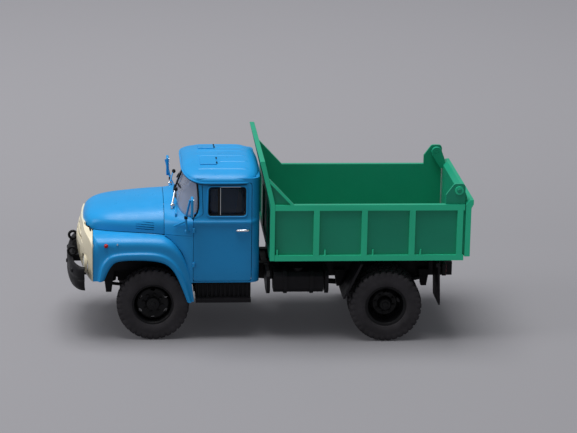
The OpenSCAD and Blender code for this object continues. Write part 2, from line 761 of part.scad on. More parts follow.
module hood() color("steelblue") at_front() difference() {
    hood_mass(0);
    translate([-eps, 0, 0]) hood_mass(sheet_t);
    across(-cab_half, cab_half) polygon(concat(
        [for (p = seam_line) [p[0] - (p[0] < 0 ? cut : 0), p[1] + seam]], [[30, 38 + seam], [30, 29], [hood_rear - cut, 29]]));
    for (i = [0:louvre_count - 1]) both_sides()
        block([louvre_x[0], hood_half - 1.2, 37.6 + i * louvre_pitch],
              [louvre_x[1], hood_half + 1, 37.6 + i * louvre_pitch + louvre_w]);
}

// Fender: side outline, the wheel arch in it, and the flare that stands out round the arch
apron_y = tunnel_half + 0.2;
fender_side_y = fender_half - 0.5;
fender_shoulder_r = 5.5;
arch = [
    [-11.6, 14.1], [-9.3, 19.4], [-8.3, 22.2], [-7.2, 24.4], [-5.8, 26.2], [-4.1, 27.3], [-1.5, 27.9], [1.7, 28.2],
    [8.5, 28.2], [11.6, 27.9], [13.2, 26.9], [14.6, 24.9], [16.1, 20.6]
];
flare = [
    [-13.1, 14.1], [-11.3, 19.3], [-10.4, 22.6], [-8.9, 25.7], [-7.3, 27.8], [-5.1, 29.4], [-2.2, 30.3], [1.7, 30.7],
    [9, 30.7], [12.7, 29.9], [15, 28.1], [16.3, 25.4], [17.6, 20.6]
];

function fender_top(inset) = [
    [19.2 - inset, 20.6], [19.2 - inset, 38 - inset], [5.7, 37 - inset], [hood_rear, 36.2 - inset],
    [-6.2 + inset / 2, 34.2 - inset / 2], [-9.8 + inset, 29.8], [-11.4 + inset, 25.6], [-12.6 + inset, 19.6],
    [-13.4 + inset, 14.1]
];

module fender_section(inset) intersection() {
    crowned(fender_side_y - inset, fender_shoulder_r - inset / 2, 90, 38.3 - inset, 10);
    translate([apron_y, 10]) square([30, 40]);
}

module fender_left() color("steelblue") at_front() {
    difference() {
        intersection() {
            across(apron_y, fender_half) polygon(concat(fender_top(0), arch));
            along(-14, 20) fender_section(0);
        }
        intersection() {
            across(apron_y + sheet_t, fender_side_y - sheet_t)
                polygon(concat(fender_top(sheet_t), [[-12, 10], [24, 10]]));
            along(-14, 19.2 - sheet_t) fender_section(sheet_t);
        }
    }
    across(fender_side_y - sheet_t, fender_half) polygon(concat(arch, reversed(flare)));
    translate([15.3, 0, 32.5]) rod_across(0.68, fender_side_y - 0.2, fender_side_y + 0.7);
}

module fender_right() mirror([0, 1, 0]) fender_left();

// Grille panel: bowed across and upright, with brow slots, an opening behind upright bars, and the lamps
grille_z0 = 20.4;
grille_z1 = 39.4;
grille_x = 25.3;
grille_seam_x = 19.35;
grille_half = fender_half - 0.8;
lamp_y = 18;
lamp_z = 25.2;
lamp_r = 2.9;
lamp_front = 22;
bar_count = 7;
bar_pitch = 1.62;
bar_w = 0.5;
slot_z = [33.4, 35.6];

module grille_mass(inset) intersection() {
    upward(grille_z0 - 1, grille_z1 + 1) bowed_ahead(grille_half - inset, 6, 75, grille_x - inset, 30);
    across(-cab_half - 2, cab_half + 2) translate([grille_x - 22, 30.5]) circle(r = 22 - inset, $fn = 120);
    along(grille_seam_x, grille_x + 1) union() {
        crowned(grille_half - inset, fender_shoulder_r, 90, 38.3, grille_z0);
        translate([-12, 30]) square([24, grille_z1 - 30]);
    }
}

module grille_opening(side) along(15, 30) {
    translate([side > 0 ? 0.8 : -12.4, 23.4]) square([11.6, 7.4]);
    for (z = slot_z) translate([0, z]) polygon([
        [side * 1.2, -0.45], [side * (11 + (38 - z) / 2), -0.5], [side * (13 + (38 - z) / 2), -1.6],
        [side * (13.5 + (38 - z) / 2), -0.9], [side * (11.6 + (38 - z) / 2), 0.45], [side * 1.2, 0.45]
    ]);
}

module grille_panel() color("beige") at_front() {
    difference() {
        grille_mass(0);
        translate([-eps, 0, 0]) grille_mass(sheet_t);
        both_sides() translate([0, lamp_y, lamp_z]) rod_along(lamp_r, 15, 30);
        for (side = [-1, 1]) grille_opening(side);
        block([grille_seam_x - 1, -cab_half, seam_line[2][1] + 0.2], [hood_nose + 0.3, cab_half, grille_z1 + 1]);
    }
    intersection() {
        difference() {
            grille_mass(0.3);
            grille_mass(sheet_t);
        }
        both_sides() for (i = [0:bar_count - 1])
            block([15, 1.9 + i * bar_pitch, 23], [30, 1.9 + i * bar_pitch + bar_w, 31.2]);
    }
}

module head_lamps() color("white") at_front() both_sides() translate([lamp_front, lamp_y, lamp_z])
    intersection() {
        translate([-4.6, 0, 0]) sphere(r = 5.4);
        rod_along(lamp_r - seam, -2.6, 2);
    }

// Mirrors: each on a bent arm with a brace, one standing further forward than the other
mirror_arm_r = 0.4;
mirror_w = 4.2;
mirror_h = 6.4;
mirror_t = 0.9;
// Head, knee, foot and brace foot, as [x, y, z] on the left side
mirror_left = [[-12.6, 27.3, 46.2], [-10.6, 25.4, 42.3], [-11, cab_half + 0.45, 37.2], [-6.9, 22.2, 38.5]];
mirror_right = [[-6, 27.3, 46.6], [-6.9, 25.2, 42.5], [-9.6, cab_half - 0.4, 37.2], [-5.6, 21.6, 38.5]];

module mirror_set(points) {
    head = points[0];
    knee = points[1];
    foot = points[2];
    top = head + [mirror_t / 2, -0.6, 2.2];
    along(head[0] - mirror_t / 2, head[0] + mirror_t / 2)
        rounded_rect(head[1] - mirror_w / 2, head[2] - mirror_h / 2, head[1] + mirror_w / 2, head[2] + mirror_h / 2, 0.8);
    bar(top, knee, mirror_arm_r);
    bar(knee, foot, mirror_arm_r);
    bar(knee + 0.3 * (foot - knee), points[3], mirror_arm_r * 0.8);
}

module mirrors() color("steelblue") at_front() {
    mirror_set(mirror_left);
    mirror([0, 1, 0]) mirror_set(mirror_right);
}

// Wipers: a pivot on the cowl, an arm and a blade lying across the glass
wiper_y = 14.6;
wiper_z = hood_z + 2.8;
// The windshield's outer face at a place across and a height
function glass_face(y, z) = cab_front - (z - hood_z) * tan(glass_lean) - bow_r + sqrt(bow_r * bow_r - y * y);

module wipers() color("silver") at_front() both_sides() {
    pivot = [-6.4, wiper_y, hood_z - 0.9];
    joint = [glass_face(12.2, wiper_z) + 0.9, 12.2, wiper_z];
    translate(pivot) sphere(r = 0.75);
    bar(pivot, joint, 0.3);
    bar([glass_face(5.2, wiper_z) + 0.45, 5.2, wiper_z], [glass_face(15.8, wiper_z) + 0.45, 15.8, wiper_z - 0.3], 0.28);
    bar(joint, joint - [0.6, 0, 0.1], 0.3);
}

// Wheels

lug_w = 1.5;

module tyre() {
    half = tyre_w / 2;
    groove_r = tyre_r - lug_h;
    rotate([90, 0, 0]) {
        rotate_extrude() polygon([
            [bead_r, -half + 1], [bead_r + 1, -half + 0.2], [bead_r + 2.4, -half], [groove_r - 1.1, -half + 0.3],
            [groove_r, -half + 1.1], [groove_r, half - 1.1], [groove_r - 1.1, half - 0.3], [bead_r + 2.4, half],
            [bead_r + 1, half - 0.2], [bead_r, half - 1]
        ]);
        for (s = [0, 1], i = [0:lug_count - 1])
            rotate([0, 0, -90 + (i + s / 2) * 360 / lug_count])
                translate([groove_r - 0.8, -lug_w / 2, s ? 0.25 : -half + 0.15]) cube([lug_h + 0.8, lug_w, half - 0.4]);
    }
}

nut_count = 8;
nut_ring_r = 3.05;
hole_count = 6;
hole_ring_r = 4.7;
hub_cap_t = 0.9;

// Wheel disc, its outer face towards +Y, with a hub that is closed outside or lets the rod through
module rim(dish, hub_out, closed) {
    half = tyre_w / 2;
    bore_end = closed ? hub_out - hub_cap_t : hub_out + cut;
    rotate([-90, 0, 0]) difference() {
        union() {
            rotate_extrude() polygon([
                [0, dish - 1.9], [2.2, dish - 1.9], [3, dish - 1.1], [4.7, dish - 0.9], [bead_r - 1.1, dish - 1.4],
                [bead_r - 0.6, dish - 0.2], [bead_r - 0.6, -half + 0.8], [bead_r - 0.3, -half + 0.6],
                [bead_r, -half + 0.8], [bead_r, half - 0.8], [bead_r - 0.2, half - 0.6], [bead_r - 0.6, half - 0.6],
                [bead_r - 0.95, half - 1], [bead_r - 1.1, dish + 0.2], [bead_r - 1.4, dish - 0.6],
                [5.2, dish + 0.1], [4.6, dish + 0.3], [3.6, dish + 0.1], [2.5, dish], [2.2, dish + 0.2],
                [2, hub_out - 1], [1.1, hub_out - 0.7], [1, hub_out - 0.3], [0.6, hub_out], [0, hub_out]
            ]);
            for (i = [0:nut_count - 1]) rotate([0, 0, i * 360 / nut_count]) translate([nut_ring_r, 0, dish - 0.2])
                cylinder(r = 0.42, h = 0.9, $fn = 6);
        }
        translate([0, 0, dish - 3]) cylinder(r = rod_r, h = bore_end - dish + 3);
        for (i = [0:hole_count - 1]) rotate([0, 0, (i + 0.5) * 360 / hole_count])
            translate([hole_ring_r, 0, dish - 3]) linear_extrude(4) {
                for (y = [-0.45, 0.45]) translate([0, y]) circle(r = 0.42, $fn = 24);
                square([0.84, 0.9], center = true);
            }
    }
}

front_hub_out = 2.9;
outer_hub_out = 1.6;
inner_hub_out = 1.6;

module front_rims() color("dimgray") at_front() both_sides()
    translate([0, front_track_half, axle_z]) rim(0.5, front_hub_out, true);

module front_tyres() color("black") at_front() both_sides()
    translate([0, front_track_half, axle_z]) tyre();

module front_axle_rod() color("silver") at_front() translate([0, 0, axle_z]) {
    end = front_track_half + front_hub_out - hub_cap_t - seam;
    rod_across(rod_r, -end, end);
}

module rear_rims() color("dimgray") at_rear() both_sides() {
    translate([0, rear_inner_half, axle_z]) rim(1.2, inner_hub_out, false);
    translate([0, rear_inner_half + twin_pitch, axle_z]) rim(-1.5, outer_hub_out, true);
}

module rear_tyres() color("black") at_rear() both_sides() {
    translate([0, rear_inner_half, axle_z]) tyre();
    translate([0, rear_inner_half + twin_pitch, axle_z]) tyre();
}

module rear_axle_rod() color("silver") at_rear() translate([0, 0, axle_z]) {
    end = rear_inner_half + twin_pitch + outer_hub_out - hub_cap_t - seam;
    rod_across(rod_r, -end, end);
}

// Dump bed

wall_t = 1.6;
side_front = bed_front_x - wall_t;
rib_x0 = -bed_rear_x + 0.5;
rib_count = 4;
rib_pitch = (bed_front_x - 0.4 - rib_x0) / rib_count;
// Upright ribs of front wall and tailgate, at both edges and at these places
cross_ribs = [-9.5, 9.5];

module bed_floor() color("seagreen") at_rear()
    block([-bed_rear_x, -bed_inner, bed_z], [side_front, bed_inner, bed_floor_top]);

module bed_sills() color("dimgray") at_rear() difference() {
    union() {
        both_sides() {
            block([-hinge_back - 2, sill_half - sill_w, subframe_top + 0.2], [subframe_front, sill_half, bed_z]);
            translate([-hinge_back, 0, hinge_z]) rod_across(hinge_lug_r, sill_half - sill_w, sill_half);
        }
        for (x = [-hinge_back + 4.4, 8, subframe_front - 2])
            block([x, -bed_inner + 2, bed_z - 1.2], [x + 2, bed_inner - 2, bed_z]);
    }
    translate([-hinge_back, 0, hinge_z]) rod_across(hinge_r + pin_clear, -frame_half - cut, frame_half + cut);
}

// How far the front wall has leant forward at a height
function lean(z) = z < bed_top ? 0 : headboard_lean * (z - bed_top) / (headboard_z - bed_top);
gusset_top = 55.8;
gusset_x = side_front - 5.6;
flange_t = 0.5;

// The leaning plate: its pockets leave rails and ribs standing out on its front
module front_wall_profile(x0, x1, z0, z1) {
    polygon(concat(
        [[x0 + lean(z0), z0]], z0 < bed_top && z1 > bed_top ? [[x0, bed_top]] : [], [[x0 + lean(z1), z1]],
        [[x1 + lean(z1), z1]], z0 < bed_top && z1 > bed_top ? [[x1, bed_top]] : [], [[x1 + lean(z0), z0]]));
}

module bed_front_wall() color("seagreen") at_rear() difference() {
    across(-bed_half, bed_half) front_wall_profile(side_front, bed_front_x, bed_z, headboard_z);
    edges = [-bed_half + rib_w, cross_ribs[0] - rib_w / 2, cross_ribs[0] + rib_w / 2, cross_ribs[1] - rib_w / 2,
             cross_ribs[1] + rib_w / 2, bed_half - rib_w];
    for (i = [0, 2, 4]) across(edges[i], edges[i + 1]) {
        front_wall_profile(bed_front_x - wall_t + bed_t, bed_front_x + 1, bed_z + rib_w, bed_top - rib_w);
        front_wall_profile(bed_front_x - wall_t + bed_t, bed_front_x + 1, bed_top, headboard_z - rib_w);
    }
}

ear_r = 1.2;
ear_top = gate_pin_z + 1;
peg_r = 0.3;
peg_h = 1.8;

// Ear round the tailgate's pin, with round corners
module ear_profile() {
    polygon([
        [-18.6, bed_top - eps], [-18.6, 50.2], [-gate_pin_back + 1 + ear_r * 0.72, ear_top + ear_r * 0.7],
        [-gate_pin_back + 1, ear_top], [-gate_pin_back - 0.7, ear_top], [-bed_rear_x, ear_top], [-bed_rear_x, bed_top - eps]
    ]);
    translate([-gate_pin_back - 0.8, ear_top - eps]) square([1.8, ear_r + eps]);
    for (x = [-bed_rear_x + ear_r, -gate_pin_back + 1]) translate([x, ear_top]) circle(r = ear_r, $fn = 32);
}

module bed_side_left() color("seagreen") at_rear() difference() {
    union() {
        block([-bed_rear_x, bed_inner, bed_z], [side_front, bed_inner + bed_t, bed_top]);
        for (z = [bed_z, bed_top - rib_w])
            block([-bed_rear_x, bed_inner, z], [side_front, bed_half, z + rib_w]);
        for (i = [0:rib_count - 1])
            block([rib_x0 + i * rib_pitch, bed_inner, bed_z], [rib_x0 + i * rib_pitch + rib_w, bed_half, bed_top]);
        for (i = [1:rib_count])
            translate([rib_x0 + i * rib_pitch - 2, bed_half - rib_out / 2, bed_z + rib_w - cut])
                cylinder(r = peg_r, h = peg_h + cut, $fn = 24);
        across(bed_inner, bed_inner + bed_t) {
            ear_profile();
            polygon([
                [gusset_x, bed_top - eps], [side_front, bed_top - eps], [side_front, bed_top],
                [side_front + lean(gusset_top), gusset_top]
            ]);
        }
        across(bed_inner, bed_half) polygon([
            [gusset_x - flange_t, bed_top - eps], [gusset_x + flange_t, bed_top - eps],
            [side_front + lean(gusset_top - 1.5), gusset_top - 1.5], [side_front + lean(gusset_top), gusset_top]
        ]);
        translate([-gate_pin_back, 0, gate_pin_z]) rod_across(gate_pin_r + 0.7, bed_inner, bed_half - 0.4);
    }
    translate([-gate_pin_back, 0, gate_pin_z]) rod_across(gate_pin_r + pin_clear, bed_inner - cut, bed_half + cut);
}

module bed_side_right() mirror([0, 1, 0]) bed_side_left();

// Tailgate, hung from two arms whose pins turn in the bed's ears

gate_gap = 0.3;
gate_front = bed_rear_x + gate_gap;
gate_t = 1.8;
gate_plate_t = 0.8;
gate_z0 = 29.5;
gate_z1 = 46;
arm_t = 1.6;

module tailgate_panel() color("seagreen") at_rear() difference() {
    union() {
        block([-gate_front - gate_plate_t, -bed_half, gate_z0], [-gate_front, bed_half, gate_z1]);
        for (z = [gate_z0, gate_z1 - rib_w])
            block([-gate_front - gate_t, -bed_half, z], [-gate_front, bed_half, z + rib_w]);
        for (y = concat(cross_ribs, [-bed_half + rib_w / 2, bed_half - rib_w / 2]))
            block([-gate_front - gate_t, y - rib_w / 2, gate_z0], [-gate_front, y + rib_w / 2, gate_z1]);
        across(-bed_half, bed_half) polygon([
            [-gate_front, gate_z1 - 1], [-gate_front, gate_z1 + 1.2], [-gate_front - 1.4, gate_z1 + 2.6],
            [-rear_overhang, gate_z1 + 2.7], [-rear_overhang, gate_z1 + 1.1], [-gate_front - gate_t, gate_z1 - 0.2]
        ]);
        both_sides() across(bed_inner - arm_t - gate_gap, bed_inner - gate_gap) {
            polygon([
                [-gate_front - 0.6, gate_z1], [-gate_front + 0.9, gate_z1], [-21.3, 50.6], [-21.4, gate_pin_z + 1],
                [-24.4, gate_pin_z + 1], [-gate_front - 0.6, gate_z1 + 3]
            ]);
            translate([-gate_pin_back, gate_pin_z]) circle(r = 1.75);
        }
    }
    translate([-gate_pin_back, 0, gate_pin_z]) rod_across(gate_pin_r, -bed_half - cut, bed_half + cut);
}

module tailgate_pins() color("silver") at_rear() both_sides() translate([-gate_pin_back, 0, gate_pin_z])
    rod_across(gate_pin_r, bed_inner - arm_t - 0.3, bed_half);

frame();
subframe();
front_bumper();
tow_hooks();
front_springs();
rear_springs();
front_axle_beam();
rear_axle_housing();
engine_gearbox();
propshaft();
exhaust();
fuel_tank();
air_tanks();
tipping_hoist();
step_left();
step_right();
rear_guards();
mud_flaps();
tail_lamps();
bed_hinge_pin();
cab_shell();
cab_roof();
door_left();
door_right();
windshield();
cab_windows();
hood();
fender_left();
fender_right();
grille_panel();
head_lamps();
mirrors();
wipers();
seat_bench();
dashboard();
steering_wheel();
front_axle_rod();
front_rims();
front_tyres();
rear_axle_rod();
rear_rims();
rear_tyres();
bed_floor();
bed_sills();
bed_front_wall();
bed_side_left();
bed_side_right();
tailgate_panel();
tailgate_pins();
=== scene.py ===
"""Looks of the scale-model dump truck: paint, plastic, rubber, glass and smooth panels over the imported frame.

Sizes in the tables are millimetres. Points of the front group count x from the front axle and points of the rear
group from the rear axle; y is the vehicle's left and z the height above the floor.
"""

import json
import math

import bmesh
import bpy
from mathutils import Matrix, Vector

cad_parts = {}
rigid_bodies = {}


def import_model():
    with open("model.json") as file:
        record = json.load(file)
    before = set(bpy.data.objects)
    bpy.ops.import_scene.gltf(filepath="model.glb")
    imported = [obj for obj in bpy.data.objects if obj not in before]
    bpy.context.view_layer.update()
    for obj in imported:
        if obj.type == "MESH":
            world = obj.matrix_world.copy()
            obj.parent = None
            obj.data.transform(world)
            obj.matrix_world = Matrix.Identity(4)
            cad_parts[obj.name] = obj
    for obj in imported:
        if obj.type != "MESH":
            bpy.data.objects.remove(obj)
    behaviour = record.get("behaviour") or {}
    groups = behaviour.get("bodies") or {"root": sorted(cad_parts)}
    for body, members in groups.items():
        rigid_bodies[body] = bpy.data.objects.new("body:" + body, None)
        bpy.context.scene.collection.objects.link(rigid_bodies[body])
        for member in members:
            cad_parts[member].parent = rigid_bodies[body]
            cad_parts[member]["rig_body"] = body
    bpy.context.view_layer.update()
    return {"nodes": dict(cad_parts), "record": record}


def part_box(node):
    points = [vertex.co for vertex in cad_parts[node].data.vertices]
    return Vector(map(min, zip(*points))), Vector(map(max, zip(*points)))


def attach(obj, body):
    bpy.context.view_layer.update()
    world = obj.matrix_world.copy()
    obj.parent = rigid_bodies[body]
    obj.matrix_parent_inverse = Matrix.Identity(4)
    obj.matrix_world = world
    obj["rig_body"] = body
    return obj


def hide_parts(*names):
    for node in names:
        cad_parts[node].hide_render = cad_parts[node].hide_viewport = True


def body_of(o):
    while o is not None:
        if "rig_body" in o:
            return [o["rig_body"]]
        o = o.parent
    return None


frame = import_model()

MM = 0.001
FRONT_X = sum(c.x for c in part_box("front_tyres")) / 2 / MM
REAR_X = sum(c.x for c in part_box("rear_tyres")) / 2 / MM
SIDES = ((1, "left"), (-1, "right"))


def front(x, y, z):
    return Vector(((x + FRONT_X) * MM, y * MM, z * MM))


def rear(x, y, z):
    return Vector(((x + REAR_X) * MM, y * MM, z * MM))


# Camera, floor and lights

IMAGE_W = 577
SENSOR_W = 36
FOCAL_PX = 2267.5
CAMERA_YAW = -4.684
CAMERA_PITCH = 15.322
CAMERA_ROLL = 1.012
CAMERA_AT = rear(90.9, 736.1, 237.9)

FLOOR_REACH = 6
# Albedo of the floor in front of the model, under it and far behind it
FLOOR_NEAR = (0.245, 0.241, 0.256)
FLOOR_MIDDLE = (0.252, 0.248, 0.264)
FLOOR_FAR = (0.385, 0.378, 0.402)
# The paper's faint glow keeps the shadow under the model as soft as in the photograph
FLOOR_GLOW = (0.9, 0.9, 1.0, 1)
FLOOR_GLOW_STRENGTH = 0.022
WORLD_COLOUR = (0.80, 0.82, 0.86, 1)
WORLD_STRENGTH = 0.30
# Name, place and target in metres, size in metres and power in watts
LIGHTS = [("softbox_top", (0.10, -0.04, 0.95), (0, 0, 0), (0.8, 0.6), 10.3),
          ("softbox_nose", (0.70, 0.12, 0.42), (0.05, 0, 0.03), (0.3, 0.3), 1.6)]


def add_object(name, data):
    made = bpy.data.objects.new(name, data)
    bpy.context.collection.objects.link(made)
    return made


def add_camera():
    data = bpy.data.cameras.new("camera")
    data.sensor_width = SENSOR_W
    data.lens = FOCAL_PX / IMAGE_W * data.sensor_width
    data.clip_start = 0.01
    data.clip_end = 20
    camera = add_object("camera", data)
    yaw, pitch, roll = (math.radians(a) for a in (CAMERA_YAW, CAMERA_PITCH, CAMERA_ROLL))
    ahead = Vector((math.sin(yaw) * math.cos(pitch), -math.cos(yaw) * math.cos(pitch), -math.sin(pitch)))
    right = Vector((-math.cos(yaw), -math.sin(yaw), 0))
    up = right.cross(ahead)
    turned_right = math.cos(roll) * right + math.sin(roll) * up
    turned_up = -math.sin(roll) * right + math.cos(roll) * up
    turn = Matrix((turned_right, turned_up, -ahead)).transposed()
    camera.matrix_world = Matrix.Translation(CAMERA_AT) @ turn.to_4x4()
    bpy.context.scene.camera = camera


def area_light(name, place, target, size, power):
    data = bpy.data.lights.new(name, "AREA")
    data.shape = "RECTANGLE"
    data.size, data.size_y = size
    data.energy = power
    lamp = add_object(name, data)
    lamp.location = place
    lamp.rotation_euler = (Vector(target) - Vector(place)).to_track_quat("-Z", "Y").to_euler()


def add_stage():
    bpy.context.scene.view_settings.view_transform = "Standard"
    mesh = bpy.data.meshes.new("floor")
    corners = [(a * FLOOR_REACH, b * FLOOR_REACH, 0) for a, b in ((-1, -1), (1, -1), (1, 1), (-1, 1))]
    mesh.from_pydata(corners, [], [(0, 1, 2, 3)])
    mesh.materials.append(plain_floor())
    add_object("floor", mesh)
    world = bpy.data.worlds.new("studio")
    bpy.context.scene.world = world
    world.use_nodes = True
    background = world.node_tree.nodes["Background"]
    background.inputs["Color"].default_value = WORLD_COLOUR
    background.inputs["Strength"].default_value = WORLD_STRENGTH
    for light in LIGHTS:
        area_light(*light)


# Materials


def material(name, colour, roughness, metallic=0.0, specular=0.5):
    made = bpy.data.materials.new(name)
    made.use_nodes = True
    shader = made.node_tree.nodes["Principled BSDF"]
    shader.inputs["Base Color"].default_value = (*colour, 1)
    shader.inputs["Roughness"].default_value = roughness
    shader.inputs["Metallic"].default_value = metallic
    shader.inputs["Specular IOR Level"].default_value = specular
    return made, made.node_tree, shader


def noise(tree, scale, detail, rough=0.55):
    place = tree.nodes.new("ShaderNodeTexCoord")
    node = tree.nodes.new("ShaderNodeTexNoise")
    node.inputs["Scale"].default_value = scale
    node.inputs["Detail"].default_value = detail
    node.inputs["Roughness"].default_value = rough
    tree.links.new(place.outputs["Object"], node.inputs["Vector"])
    return node.outputs["Fac"]


def ramp(tree, value, stops):
    node = tree.nodes.new("ShaderNodeValToRGB")
    while len(node.color_ramp.elements) < len(stops):
        node.color_ramp.elements.new(0.5)
    for element, (place, colour) in zip(node.color_ramp.elements, stops):
        element.position = place
        element.color = (*colour, 1)
    tree.links.new(value, node.inputs["Fac"])
    return node.outputs["Color"]


def bump(tree, shader, value, distance, strength):
    node = tree.nodes.new("ShaderNodeBump")
    node.inputs["Distance"].default_value = distance
    node.inputs["Strength"].default_value = strength
    tree.links.new(value, node.inputs["Height"])
    tree.links.new(node.outputs["Normal"], shader.inputs["Normal"])


def vary_tone(tree, shader, colour, value, low, high, ends=(0.3, 0.7)):
    """Lets a noise move the base colour between two shades."""
    stops = [(end, tuple(min(1.0, c * factor) for c in colour)) for end, factor in zip(ends, (low, high))]
    tree.links.new(ramp(tree, value, stops), shader.inputs["Base Color"])


def vary_gloss(tree, shader, roughness, value, low, high, ends=(0.3, 0.7)):
    """Lets a noise move the roughness between two shares of its value."""
    stops = [(end, (roughness * factor,) * 3) for end, factor in zip(ends, (low, high))]
    tree.links.new(ramp(tree, value, stops), shader.inputs["Roughness"])


def paint(name, colour, roughness=0.33):
    """Sprayed enamel: a slight change of tone, a varying gloss and the fine ripple of a sprayed coat."""
    made, tree, shader = material(name, colour, roughness, specular=0.25)
    vary_tone(tree, shader, colour, noise(tree, 60, 3), 0.95, 1.05)
    vary_gloss(tree, shader, roughness, noise(tree, 350, 5), 0.8, 1.25, (0.3, 0.75))
    bump(tree, shader, noise(tree, 1400, 2), 0.00002, 0.35)
    return made


def plastic(name, colour, roughness=0.5):
    """Moulded plastic with a fine grain and slightly uneven sheen."""
    made, tree, shader = material(name, colour, roughness, specular=0.18)
    vary_tone(tree, shader, colour, noise(tree, 120, 4), 0.8, 1.25)
    vary_gloss(tree, shader, roughness, noise(tree, 500, 4), 0.8, 1.15)
    bump(tree, shader, noise(tree, 2600, 3), 0.00003, 0.5)
    return made


def rubber(name, colour):
    made, tree, shader = material(name, colour, 0.72, specular=0.2)
    vary_tone(tree, shader, colour, noise(tree, 200, 6, 0.65), 0.7, 1.5, (0.25, 0.75))
    bump(tree, shader, noise(tree, 3200, 4), 0.00005, 0.6)
    return made


def metal(name, colour, roughness):
    made, tree, shader = material(name, colour, roughness, metallic=1.0)
    vary_gloss(tree, shader, roughness, noise(tree, 900, 4), 0.7, 1.4)
    bump(tree, shader, noise(tree, 1800, 2), 0.00001, 0.3)
    return made


def glass(name, colour, alpha):
    roughness = 0.03
    made, tree, shader = material(name, colour, roughness)
    shader.inputs["Alpha"].default_value = alpha
    shader.inputs["IOR"].default_value = 1.5
    vary_gloss(tree, shader, roughness, noise(tree, 250, 3), 0.6, 2, (0.4, 0.7))
    made.surface_render_method = "BLENDED"
    return made


def plain_floor():
    """Studio paper whose tone rises towards the back, where the softbox lights it less."""
    made, tree, shader = material("studio_floor", FLOOR_MIDDLE, 0.8, specular=0.1)
    place = tree.nodes.new("ShaderNodeTexCoord")
    split = tree.nodes.new("ShaderNodeSeparateXYZ")
    tree.links.new(place.outputs["Object"], split.inputs["Vector"])
    depth = tree.nodes.new("ShaderNodeMapRange")
    for socket, value in (("From Min", 0.1), ("From Max", -0.7), ("To Min", 0.0), ("To Max", 1.0)):
        depth.inputs[socket].default_value = value
    tree.links.new(split.outputs["Y"], depth.inputs["Value"])
    tone = ramp(tree, depth.outputs["Result"], [(0.0, FLOOR_NEAR), (0.25, FLOOR_MIDDLE), (1.0, FLOOR_FAR)])
    tree.links.new(tone, shader.inputs["Base Color"])
    bump(tree, shader, noise(tree, 900, 3), 0.00002, 0.3)
    shader.inputs["Emission Color"].default_value = FLOOR_GLOW
    shader.inputs["Emission Strength"].default_value = FLOOR_GLOW_STRENGTH
    return made


BLUE = paint("blue_enamel", (0.014, 0.275, 0.62))
GREEN = paint("green_enamel", (0.012, 0.29, 0.17), roughness=0.42)
# A lighter copy of the green enamel: a painted highlight on the bed's ribs, rails and gate edges where they catch
# the light
GREEN_PAINTED_HIGHLIGHT = paint("green_enamel_painted_highlight", (0.03, 0.60, 0.33), roughness=0.42)
CREAM = paint("cream_enamel", (0.72, 0.655, 0.49))
BLACK = plastic("black_plastic", (0.007, 0.0065, 0.0082))
WHEEL_BLACK = plastic("wheel_plastic", (0.007, 0.007, 0.008), roughness=0.4)
# Near-black interior: partly the plastic's own dark colour, partly painted shade of the closed cab
INTERIOR_WITH_PAINTED_SHADE = plastic("interior_plastic_with_painted_shade", (0.009, 0.0085, 0.010), roughness=0.7)
RUBBER = rubber("tyre_rubber", (0.030, 0.028, 0.031))
SEAL = rubber("seal_rubber", (0.008, 0.008, 0.008))
STEEL = metal("steel", (0.62, 0.62, 0.64), 0.3)
CHROME = metal("chrome", (0.85, 0.86, 0.88), 0.08)
# Dark tint of the side and rear panes: painted shade for the dim cab behind the glass
GLASS_PAINTED_SHADE = glass("clear_glass", (0.02, 0.03, 0.05), 0.5)
# Pale grey-blue tint of the windshield: painted light for the bright backdrop seen through the glass
WINDSHIELD_PAINTED_LIGHT = glass("windshield_glass_painted_light", (0.40, 0.45, 0.58), 0.55)
LENS = glass("lens_glass", (0.86, 0.88, 0.88), 0.45)
MESH = plastic("grille_mesh", (0.008, 0.008, 0.008), roughness=0.6)
RED_LENS = plastic("red_lens", (0.42, 0.015, 0.01), roughness=0.15)

SLOT_MATERIALS = {
    "black_plastic": BLACK, "blue_paint": BLUE, "cream_paint": CREAM, "green_paint": GREEN, "steel": STEEL,
    "chrome_trim": CHROME, "clear_glass": GLASS_PAINTED_SHADE, "lamp_glass": LENS, "red_plastic": RED_LENS,
    "dark_interior": INTERIOR_WITH_PAINTED_SHADE, "tyre_rubber": RUBBER,
}
SLOT_OF = {part["node"]: part["material_slot"] for part in frame["record"]["subparts"]}

# Body, look and material slot of the pieces that ride on the chassis
ALL_BLUE = ("chassis", BLUE, "blue_paint")
ALL_CREAM = ("chassis", CREAM, "cream_paint")
ALL_BLACK = ("chassis", BLACK, "black_plastic")
ALL_SEAL = ("chassis", SEAL, "black_plastic")
ALL_CHROME = ("chassis", CHROME, "chrome_trim")
ALL_GLASS_PAINTED_SHADE = ("chassis", GLASS_PAINTED_SHADE, "clear_glass")


# Mesh tools


def dress(thing, name, body, look, slot_name):
    """Names an object and gives it its body and look; the slot name is not used."""
    thing.name = name
    thing.data.materials.append(look)
    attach(thing, body)


def link_mesh(name, bm):
    mesh = bpy.data.meshes.new(name)
    bm.to_mesh(mesh)
    bm.free()
    return add_object(name, mesh)


def smooth(mesh, angle):
    mesh.shade_smooth()
    mesh.set_sharp_from_angle(angle=math.radians(angle))


def finish_mesh(name, bm, body, look, slot_name, angle=35.0):
    bmesh.ops.recalc_face_normals(bm, faces=bm.faces)
    made = link_mesh(name, bm)
    dress(made, name, body, look, slot_name)
    smooth(made.data, angle)
    return made


def bevel(piece, width, segments=2):
    modifier = piece.modifiers.new("edges", "BEVEL")
    modifier.width = width * MM
    modifier.segments = segments
    return modifier


